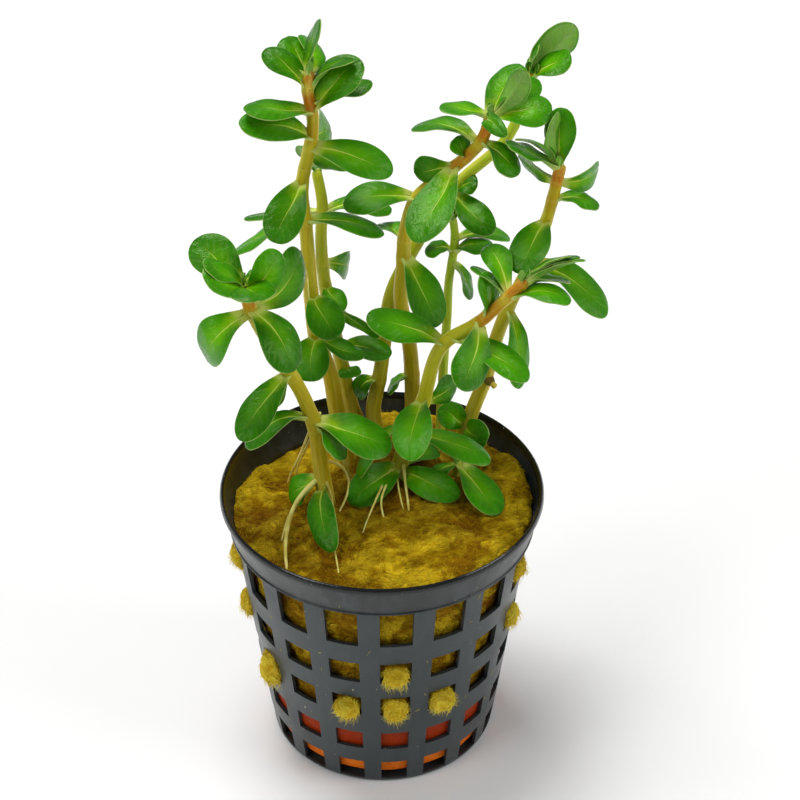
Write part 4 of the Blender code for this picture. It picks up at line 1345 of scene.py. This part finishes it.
def make_stalk(stem, finish):
    """One stem with the numbers that its finish reads."""
    course = courses[stem]
    points, faces = tubes([course], [stalk_radii(stem, course)], STALK_SIDES, (0.0, 1.0, 0.0))
    stalk = make_piece(f"{stem}_stalk", points, faces, finish)
    share = np.linspace(0, 1, len(course))
    green_foot, green_tip, brown_foot, brown_tip = STEM_TINTS[stem]
    rings = {
        "along_mm": reach_along(course), "node_mm": node_distances(stem, course),
        "green": green_foot + (green_tip - green_foot) * share,
        "brown": np.maximum(0, brown_foot + (brown_tip - brown_foot) * np.sqrt(share)),
        "blush": sum((strength * between(course[:, 2], low, high)
                      for low, high, strength in BLUSH.get(stem, ())), 0 * share),
    }
    for name, values in rings.items():
        give_attribute(stalk.data, name, np.repeat(values, STALK_SIDES))
    give_attribute(stalk.data, "around_x", np.tile(np.cos(ring_turns()), len(course)))
    give_attribute(stalk.data, "around_y", np.tile(np.sin(ring_turns()), len(course)))
    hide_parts(f"{stem}_stem")
    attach(stalk, BODY)
    return stalk


stalk_finish = stem_finish()
stalks = [make_stalk(stem, stalk_finish) for stem in STEMS]
print(len(stalks), "stems")

# %% [markdown]
# ## The leaves
# A leaf is a spoon-shaped blade on a short, channelled stalk. Its upper side is glossy and
# has a sunken midrib between two softly pillowed halves, its underside is paler with a
# raised rib, and its margin is a thin, pale, see-through line.
#
# One leaf is a loft: at each station along its length stands a closed, lens-shaped loop,
# whose upper half is the upper side. The loops are laid along the arched middle line of
# the solid's leaf, and small seeded habits make each leaf its own: a twist, a sideways
# bend and a few waves of the margin.

# %% The form of one leaf
LEAF_WIDEST = 0.64           # place of the widest part, as a share of the length
LEAF_FOOT = 0.30             # width at the foot, as a share of the full width
LEAF_SPOON = 1.4             # 1 for an even swelling from foot to blade, more for a spoon
LEAF_STATIONS = 40
LEAF_END = 0.999             # place of the last station, just short of the tip
LEAF_ACROSS = 21             # points from margin to margin on each side
LEAF_THICKNESS = 0.34
MARGIN_THICKNESS = 0.10
FOOT_THICKNESS = 0.75
MIDRIB_DEPTH = 0.13
MIDRIB_RISE = 1.3            # how much higher the rib stands below than it is sunk above
MIDRIB_WIDTH = 0.28
PILLOW = 0.10
UNDULATION = 0.16            # gentle bumps of the blade
BUMP_SIZES = (3.0, 2.2)      # size of those bumps along and across
VEIN_SPACING = 1.5
VEIN_DEPTH = 0.012
VEIN_SLANT = 0.9             # how far a vein has run along when it is 1 mm from the midrib
VEIN_CURVE = 0.12            # and how its way bends towards the tip

# What changes along a leaf does so between two places, as shares of the length.
BLADE_GROWTH = (0.06, 0.28)  # the stalk turns into the blade
RIB_FADE = (0.92, 0.47)      # the midrib dies out, from the tip's side
RIB_START = (0.0, 0.25)      # the midrib begins to wander
CUP_CHANGE = (0.0, 0.75)     # the cupped foot turns into the flatter crown
FOLD_FADE = (0.7, 0.1)       # the blade folds up along the midrib, towards the foot
DROOP_START = (0.6, 1.0)     # the tip bends down


def ramp(share, start, end):
    """0 before the start and 1 past the end, with an even rise between."""
    return np.clip((share - start) / (end - start), 0, 1)


def leaf_half_width(share):
    """Half width along a spoon-shaped leaf of full width 1."""
    swell = np.sin(0.5 * np.pi * ramp(share, 0, LEAF_WIDEST)) ** LEAF_SPOON
    past = ramp(share, LEAF_WIDEST, 1)
    return 0.5 * (LEAF_FOOT + (1 - LEAF_FOOT) * swell) * np.sqrt(1 - past ** 2)


def vein_wave(along_mm, across_mm):
    """Side veins that leave the midrib at a slant and curve towards the tip: 1 on a vein."""
    reach = np.abs(across_mm)
    place = (along_mm - VEIN_SLANT * reach - VEIN_CURVE * reach ** 2) / VEIN_SPACING
    return (0.5 + 0.5 * np.cos(2 * np.pi * place)) ** 3


def leaf_habit(rng, length):
    """The small irregularities of one leaf."""
    return {
        "twist": math.radians(rng.uniform(-9, 9)), "bend": rng.uniform(-0.035, 0.035) * length,
        "wave": rng.uniform(0.04, 0.16), "waves": rng.uniform(1.2, 2.6),
        "phase": rng.uniform(0, 2 * math.pi), "lopside": rng.uniform(-0.05, 0.05),
        "droop": rng.uniform(0.0, 0.06) * length, "cup": rng.uniform(0.18, 0.42),
        "crown": rng.uniform(-0.22, 0.06), "tone": rng.uniform(-1, 1),
        "rib_curve": rng.uniform(-0.3, 0.3), "fold": rng.uniform(0.2, 0.5),
    }


def leaf_loop():
    """The way round one loop: -1 to 1 across, and 1 above, 0 at the margins, -1 below."""
    across = np.sin(0.5 * np.pi * np.linspace(-1, 1, LEAF_ACROSS))
    across = np.concatenate((across, across[-2:0:-1]))[None]
    upper = np.concatenate((np.ones(LEAF_ACROSS), -np.ones(LEAF_ACROSS - 2)))
    upper[[0, LEAF_ACROSS - 1]] = 0
    return across, upper


def leaf_middle(x, y, share, across, half_width, arch, habit):
    """Height of the leaf's middle surface: arched, cupped, folded, wavy and bumpy."""
    cup = habit["cup"] + (habit["crown"] - habit["cup"]) * ramp(share, *CUP_CHANGE)
    middle = 4 * arch * share * (1 - share) + cup * half_width * across ** 2
    fold = ramp(share, *FOLD_FADE) ** 1.5
    middle += habit["fold"] * fold * np.abs(across) * half_width
    middle -= habit["droop"] * ramp(share, *DROOP_START) ** 2
    waves = np.sin(2 * np.pi * habit["waves"] * share + habit["phase"] + np.sign(across))
    middle += habit["wave"] * waves * np.abs(across) ** 2.5 * np.sin(np.pi * share)
    along, aside = BUMP_SIZES
    bumps = [noise.noise(Vector((u / along, v / aside, 20 * habit["phase"])))
             for u, v in zip(x.ravel(), y.ravel())]
    return middle + UNDULATION * np.array(bumps).reshape(x.shape)


def leaf_form(length, width, arch, habit):
    """Points of a leaf along +X with its face up, and the numbers its finish reads."""
    share = np.sin(0.5 * np.pi * np.linspace(0, LEAF_END, LEAF_STATIONS))[:, None]
    across, upper = leaf_loop()
    half_width = width * leaf_half_width(share)
    y = half_width * across * (1 + habit["lopside"] * np.sign(across))
    x = length * share + 0.0 * across
    line = habit["rib_curve"] * np.sin(1.7 * np.pi * share) * ramp(share, *RIB_START)
    rib = np.exp(-((y - line) / MIDRIB_WIDTH) ** 2) * ramp(share, *RIB_FADE)
    blade = ramp(share, *BLADE_GROWTH)
    flesh = FOOT_THICKNESS + (LEAF_THICKNESS - FOOT_THICKNESS) * np.sqrt(blade)
    thick = MARGIN_THICKNESS + (flesh - MARGIN_THICKNESS) * np.sqrt(1 - across ** 2)
    thick *= np.clip((1 - share) / 0.03, 0.25, 1)
    middle = leaf_middle(x, y, share, across, half_width, arch, habit)
    halves = np.sin(np.pi * np.abs(across))
    grooves = VEIN_DEPTH * vein_wave(x, y) * halves * blade
    skin = PILLOW * halves ** 2 * blade - grooves
    sunk = np.where(upper >= 0, 1, MIDRIB_RISE) * MIDRIB_DEPTH * rib
    z = middle + upper * thick / 2 + skin - sunk
    turn = habit["twist"] * share
    y, z = y * np.cos(turn) - z * np.sin(turn), y * np.sin(turn) + z * np.cos(turn)
    y += habit["bend"] * np.sin(np.pi * share)
    values = {
        "along": share, "edge": half_width * (1 - np.abs(across)) / width, "top": upper >= 0,
        "tone": habit["tone"], "along_mm": x, "across_mm": half_width * across - line,
        "side": np.abs(across),
    }
    points = np.stack((x, y, z), axis=-1).reshape(-1, 3)
    return points, {name: (value + 0 * y).ravel() for name, value in values.items()}


trial, _ = leaf_form(12.0, 5.6, 1.0, leaf_habit(random.Random(1), 12.0))
print(len(trial), "points a leaf,", round(float(np.ptp(trial[:, 1])), 2), "mm wide")

# %% [markdown]
# A leaf is set on its stem like its solid: the row gives the line from the stem's middle
# to the leaf's tip. Its foot starts inside the stem, so that the two are grown together.

# %% Set a leaf on its stem
FOOT_DEPTH = 0.45            # how far inside the stem a foot starts, as a share of its radius


def spot_on_stem(stem, height):
    """Middle, radius and growing direction of a stem at a height."""
    course = courses[stem]
    place = np.interp(height, course[:, 2], np.arange(len(course)))
    ring = min(int(place), len(course) - 2)
    middle = Vector(course[ring]).lerp(Vector(course[ring + 1]), place - ring)
    foot_radius, tip_radius, _ = STEMS[stem]
    radius = foot_radius + (tip_radius - foot_radius) * place / (len(course) - 1)
    return middle, radius, Vector(course[ring + 1] - course[ring]).normalized()


def set_leaf(stem, row, habit):
    """Points, faces and numbers of a leaf in its place."""
    height, compass, rise, length, width, arch, roll = row
    middle, radius, growth = spot_on_stem(stem, height)
    heading, climb = math.radians(compass), math.radians(rise)
    aim = Vector((math.cos(heading) * math.cos(climb), math.sin(heading) * math.cos(climb),
                  math.sin(climb)))
    outwards = (aim - aim.dot(growth) * growth).normalized()
    foot = middle + outwards * radius * FOOT_DEPTH
    line = middle + aim * length - foot
    along = line.normalized()
    face = (Vector((0, 0, 1)) - along.z * along).normalized()
    face = Matrix.Rotation(math.radians(roll), 3, along) @ face
    turn = np.array((along, face.cross(along), face))
    points, values = leaf_form(line.length, width, arch, habit)
    return points @ turn + np.array(foot), values


def leaf_faces(count):
    """Faces of a number of leaves whose points follow each other."""
    around = 2 * LEAF_ACROSS - 2
    faces = []
    for leaf in range(count):
        start = leaf * LEAF_STATIONS * around
        faces += [face[::-1] for face in grid_faces(LEAF_STATIONS, around, start)]
    return faces


print("foot starts", FOOT_DEPTH, "of the radius inside the stem")

# %% [markdown]
# The leaf's finish reads the numbers of the mesh. The green is darker in cloudy patches,
# brighter along the middle of the blade, yellow-green towards the foot, and cream at the
# very foot. Over it lie faint side veins, the pale midrib, which fades towards the tip,
# and the pale margin. The underside is a paler, greyer and rougher green. The low
# roughness of the upper side stands for the waxy skin that makes these leaves shine.

# %% The leaf's finish
LEAF_DARK = (0.014, 0.120, 0.0002)
LEAF_GREEN = (0.044, 0.275, 0.0003)
LEAF_BRIGHT = (0.18, 0.54, 0.0010)
LEAF_FOOT_GREEN = (0.38, 0.62, 0.006)
LEAF_CREAM = (0.70, 0.74, 0.20)
LEAF_RIB = (0.58, 0.76, 0.10)
LEAF_MARGIN = (0.50, 0.64, 0.18)
LEAF_UNDER = (0.19, 0.36, 0.07)
LEAF_UNDER_RIB = (0.40, 0.52, 0.14)
RIB_AT_FOOT = 0.24           # half width of the midrib's colour
RIB_AT_TIP = 0.05


def vein_marks(tree, along, reach, wobble):
    """The same side veins as in the mesh, a little wobbly: 1 on a vein."""
    slant = scaled(tree, reach, -VEIN_SLANT, along)
    curve = scaled(tree, times(tree, reach, reach), -VEIN_CURVE, slant)
    place = scaled(tree, wobble, 0.5, curve)
    wave = maths(tree, "COSINE", times(tree, place, 2 * math.pi / VEIN_SPACING))
    return maths(tree, "POWER", scaled(tree, wave, 0.4999, 0.5), 9.0)


def leaf_finish():
    """Waxy green leaf with veins, a pale margin and a matter, paler underside."""
    finish, tree, shader = new_finish("toothcup_leaf", {
        "Specular IOR Level": 0.25, "Specular Tint": (0.85, 1.0, 0.55, 1.0),
        "Subsurface Weight": 0.06, "Subsurface Scale": 0.4 * MM})
    place = position(tree)
    cloud = mottle(tree, place, patches=3.5, grain=0.16)
    small = mottle(tree, place, patches=1.2, grain=0.4)
    points = speckle(tree, place, spacing=0.9, size=0.06, share=0.22)
    along, top, edge, tone = (attribute(tree, name) for name in ("along", "top", "edge", "tone"))
    reach = maths(tree, "ABSOLUTE", attribute(tree, "across_mm"))
    veins = vein_marks(tree, attribute(tree, "along_mm"), reach, small["Patches"])
    width = fade(tree, along, 0.0, 0.8, RIB_AT_FOOT, RIB_AT_TIP)
    rib = fade(tree, maths(tree, "DIVIDE", reach, width), 0.3, 1.0, 1.0, 0.0)

    shade = scaled(tree, tone, 0.32, 0.36)
    shade = scaled(tree, cloud["Patches"], 0.35, shade)
    shade = scaled(tree, small["Patches"], 0.15, shade)
    inner = times(tree, fade(tree, edge, 0.06, 0.45), fade(tree, along, 1.0, 0.35))
    fresh = scaled(tree, attribute(tree, "youth"), 0.15, scaled(tree, tone, 0.2, 0.52))
    foot = scaled(tree, small["Patches"], 0.08, along)
    foot = fade(tree, scaled(tree, attribute(tree, "side"), 0.22, foot), 0.50, 0.14, 0.0, 0.85)
    line = times(tree, rib, fade(tree, along, 0.95, 0.5, 0.0, 0.9))
    upper = layered(
        tree, LEAF_DARK, (shade, LEAF_GREEN), (times(tree, inner, fresh), LEAF_BRIGHT),
        (foot, LEAF_FOOT_GREEN), (times(tree, veins, 0.04), LEAF_RIB), (line, LEAF_RIB),
        (fade(tree, along, 0.18, 0.04, 0.0, 0.85), LEAF_CREAM))

    lines = maths(tree, "MAXIMUM", rib, times(tree, veins, 0.35))
    under = layered(
        tree, LEAF_UNDER, (times(tree, cloud["Patches"], 0.5), LEAF_BRIGHT),
        (times(tree, lines, 0.45), LEAF_UNDER_RIB),
        (fade(tree, edge, 0.12, 0.03, 0.0, 0.7), LEAF_GREEN),
        (fade(tree, along, 0.25, 0.03, 0.0, 0.8), LEAF_CREAM))
    colour = layered(
        tree, upper, (fade(tree, top, 0.3, 0.7, 1.0, 0.0), under),
        (fade(tree, edge, 0.014, 0.003, 0.0, 0.55), LEAF_MARGIN),
        (times(tree, points, 0.45), LEAF_MARGIN))

    wax = scaled(tree, cloud["Patches"], 0.12, 0.12)
    give_colour(tree, shader, colour, plus(tree, wax, fade(tree, top, 0.3, 0.7, 0.2, 0.0)))
    grooves = scaled(tree, veins, 0.2, rib)
    sunk = times(tree, grooves, fade(tree, top, 0.3, 0.7, 1.0, -1.0))
    fine = scaled(tree, cloud["Grain"], 0.25, small["Patches"])
    relief(tree, shader, plus(tree, fine, sunk), 0.07)
    return finish


blade_finish = leaf_finish()
print(blade_finish.name, "ready")

# %% [markdown]
# The open leaves are pieces of their own, and each replaces its solid. The small leaves
# of a stem, which are fused with it in the solid model, are one more piece with the same
# form and finish. Leaves near a stem's tip are young, and a little brighter.

# %% Make the leaves
YOUNG_REACH = 14.0           # how far below a stem's tip its leaves still look young
BUD_LEAVES = 2


def youth(stem, row):
    """1 for a leaf at the stem's tip, and 0 for one well below it."""
    left = courses[stem][-1][2] - row[0]
    return max(0.0, 1.0 - left / YOUNG_REACH) ** 1.5


def bud_rows(stem, rng):
    """The folded first leaves round a stem's tip."""
    top = courses[stem][-1][2]
    start = rng.uniform(0, 90)
    return [(top - 0.5, start + 180 * leaf, rng.uniform(66, 84), rng.uniform(1.8, 2.6),
             rng.uniform(1.0, 1.4), -0.25, 0) for leaf in range(BUD_LEAVES)]


def make_leaves(name, stem, rows, rng):
    """One or more leaves of a stem as one piece."""
    points = []
    numbers = {}
    for row in rows:
        habit = leaf_habit(rng, row[3])
        leaf_points, values = set_leaf(stem, row, habit)
        values["youth"] = np.full(len(leaf_points), youth(stem, row))
        points.append(leaf_points)
        for key, value in values.items():
            numbers.setdefault(key, []).append(value)
    piece = make_piece(name, np.concatenate(points), leaf_faces(len(rows)), blade_finish)
    for key, parts in numbers.items():
        give_attribute(piece.data, key, np.concatenate(parts))
    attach(piece, BODY)
    return piece


def make_foliage(stem, rng):
    """Every leaf of one stem."""
    pieces = []
    for number, row in enumerate(LEAVES[stem], 1):
        piece = make_leaves(f"{stem}_blade_{number}", stem, [row], rng)
        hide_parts(f"{stem}_leaf_{number}")
        pieces.append(piece)
    small = [*SMALL_LEAVES[stem], *bud_rows(stem, rng)]
    pieces.append(make_leaves(f"{stem}_small_blades", stem, small, rng))
    return pieces


leaf_dice = random.Random(20)
foliage = [piece for stem in STEMS for piece in make_foliage(stem, leaf_dice)]
print(len(foliage), "pieces of foliage,", sum(len(piece.data.polygons) for piece in foliage),
      "faces")

# %% [markdown]
# ## Aerial roots
# Where a stem stands in damp air it sends thin pale roots down from its nodes. Each is a
# tapered tube along a route that was picked in the photograph like those of the stems: it
# leaves the stem, hangs in a soft bow and ends on or in the wool. Only the one high on the
# tall left stem hangs free. The first number is its radius at the stem.

# %% Make the aerial roots
AERIAL_ROOTS = (
    (0.42, ((-9.4, -0.6, 48.4), (-11.2, -1.9, 47.4), (-12.6, -2.9, 46.4), (-13.7, -4.6, 45.2),
            (-14.4, -7.6, 44.0), (-14.6, -11.6, 43.3), (-14.3, -15.4, 43.0), (-14.1, -16.4, 42.3))),
    (0.22, ((-14.2, -5.6, 44.6), (-14.8, -7.5, 43.9), (-15.2, -9.4, 42.9))),
    (0.25, ((-9.2, 0.0, 60.0), (-10.9, 1.0, 56.0), (-12.0, 2.2, 51.9), (-13.2, 3.2, 48.2),
            (-14.4, 4.4, 44.6), (-14.8, 4.8, 43.0))),
    (0.20, ((-9.4, 0.2, 58.6), (-10.9, 1.6, 54.0), (-12.0, 3.6, 49.8), (-13.0, 5.6, 46.2),
            (-13.5, 6.6, 43.2))),
    (0.24, ((-8.6, -1.4, 48.2), (-7.8, -1.9, 46.2), (-7.4, -2.6, 43.8), (-7.4, -2.9, 42.6))),
    (0.26, ((-8.4, 0.4, 50.6), (-6.6, 1.4, 49.6), (-5.0, 1.4, 47.2), (-5.0, 0.2, 44.8),
            (-6.2, -2.2, 43.8), (-7.0, -3.6, 42.8))),
    (0.20, ((-8.0, 0.8, 52.4), (-6.6, 1.8, 50.6), (-5.4, 2.4, 48.0), (-4.6, 2.2, 45.6),
            (-4.3, 1.4, 43.0))),
    (0.27, ((3.4, 5.0, 46.4), (3.6, 3.2, 44.4), (3.9, 0.4, 43.9), (4.1, -2.8, 43.6),
            (4.2, -3.8, 42.8))),
    (0.22, ((1.4, 4.6, 46.0), (0.2, 1.4, 45.4), (-1.2, -2.6, 44.6), (-2.2, -5.4, 43.9),
            (-2.9, -7.4, 43.4), (-3.1, -8.0, 42.6))),
    (0.22, ((1.8, 4.4, 45.6), (0.4, 0.4, 45.2), (-0.4, -2.6, 44.7), (0.2, -5.0, 44.0),
            (0.9, -7.2, 43.2), (1.1, -7.8, 42.4))),
    (0.18, ((2.2, 5.0, 45.4), (2.5, 1.6, 44.8), (2.9, -1.2, 44.1), (3.5, -3.2, 42.9))),
    (0.22, ((-8.9, -1.8, 45.0), (-8.4, -6.6, 43.9), (-7.3, -11.4, 43.6), (-6.8, -14.8, 43.5),
            (-6.4, -17.6, 43.1), (-6.3, -18.4, 42.3))),
    (0.16, ((-11.2, 12.2, 84.4), (-11.0, 11.2, 80.0), (-10.8, 10.8, 74.0), (-10.6, 10.8, 70.0))),
)
ROOT_SIDES = 10
ROOT_TAPER = 0.55            # radius at a root's end, as a share of that at the stem
ROOT_UNEVENNESS = 0.12
ACROSS_ROOTS = (0.0, 0.3, 1.0)       # a direction that no root takes
ROOT_CREAM = (0.90, 0.84, 0.26)
ROOT_TAN = (0.62, 0.52, 0.09)


def root_finish():
    """Pale, slightly see-through root with tan stretches."""
    finish, tree, shader = new_finish("aerial_root", {
        "Roughness": 0.4, "Specular IOR Level": 0.4, "Subsurface Weight": 0.3,
        "Subsurface Scale": 0.4 * MM})
    cloud = mottle(tree, position(tree), patches=2.0, grain=0.2)
    give_colour(tree, shader, mixed(tree, cloud["Patches"], ROOT_CREAM, ROOT_TAN))
    relief(tree, shader, cloud["Grain"], 0.03)
    return finish


def make_roots():
    """Every aerial root, joined into one piece."""
    shapes = []
    for radius, route in AERIAL_ROOTS:
        course = smooth_course(route)
        taper = np.linspace(radius, ROOT_TAPER * radius, len(course))
        bumps = np.array([noise.noise(Vector(point)) for point in course])
        radii = taper * (1 + ROOT_UNEVENNESS * bumps)
        shapes.append(tubes([course], [radii], ROOT_SIDES, ACROSS_ROOTS))
    points, faces = joined(*shapes)
    return make_piece("aerial_roots", points, faces, root_finish())


roots = make_roots()
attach(roots, BODY)
print(len(AERIAL_ROOTS), "aerial roots,", len(roots.data.polygons), "faces")

# %% [markdown]
# ## The cut side shoot
# Low on the right stem a side shoot has been snipped off. What is left is a short cone
# that swells out of the stem, dries to brown and ends in a paler cut face.

# %% Make the cut side shoot
STUB = (56.6, -60, 2.5)      # height on the right stem, compass, length from its middle
STUB_FALL = 0.12             # how much it falls, as a share of its length
STUB_WIDTHS = ((0.1, 0.95), (0.35, 0.92), (0.55, 0.75), (0.75, 0.5), (0.9, 0.44), (1.0, 0.5))
STUB_SIDES = 14
STUB_BROWN = (0.06, 0.018, 0.003)


def stub_finish():
    """Cream and ochre skin that dries to brown before the paler cut."""
    finish, tree, shader = new_finish("cut_side_shoot", {
        "Roughness": 0.5, "Specular IOR Level": 0.25})
    cloud = mottle(tree, position(tree), patches=1.2, grain=0.2)
    along = attribute(tree, "along")
    dried = times(tree, fade(tree, along, 0.36, 0.5), fade(tree, along, 0.9, 0.75))
    colour = layered(tree, STEM_OCHRE, (cloud["Patches"], STEM_CREAM),
                     (times(tree, dried, 0.85), STUB_BROWN))
    give_colour(tree, shader, colour)
    relief(tree, shader, cloud["Grain"], 0.06)
    return finish


def make_stub():
    """The stub, from inside the stem to its cut end."""
    height, compass, length = STUB
    middle = np.array(spot_on_stem("right", height)[0])
    heading = math.radians(compass)
    aim = np.array((math.cos(heading), math.sin(heading), -STUB_FALL))
    course = [middle + aim * length * share for share, _ in STUB_WIDTHS]
    radii = [width for _, width in STUB_WIDTHS]
    points, faces = tubes([course], [radii], STUB_SIDES, ACROSS_ROOTS)
    piece = make_piece("cut_side_shoot", points, faces, stub_finish())
    away = np.linalg.norm(np.asarray(points) - middle, axis=1) / length
    give_attribute(piece.data, "along", np.clip(away, 0, 1))
    return piece


stub = make_stub()
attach(stub, BODY)
print("cut side shoot:", len(stub.data.polygons), "faces")
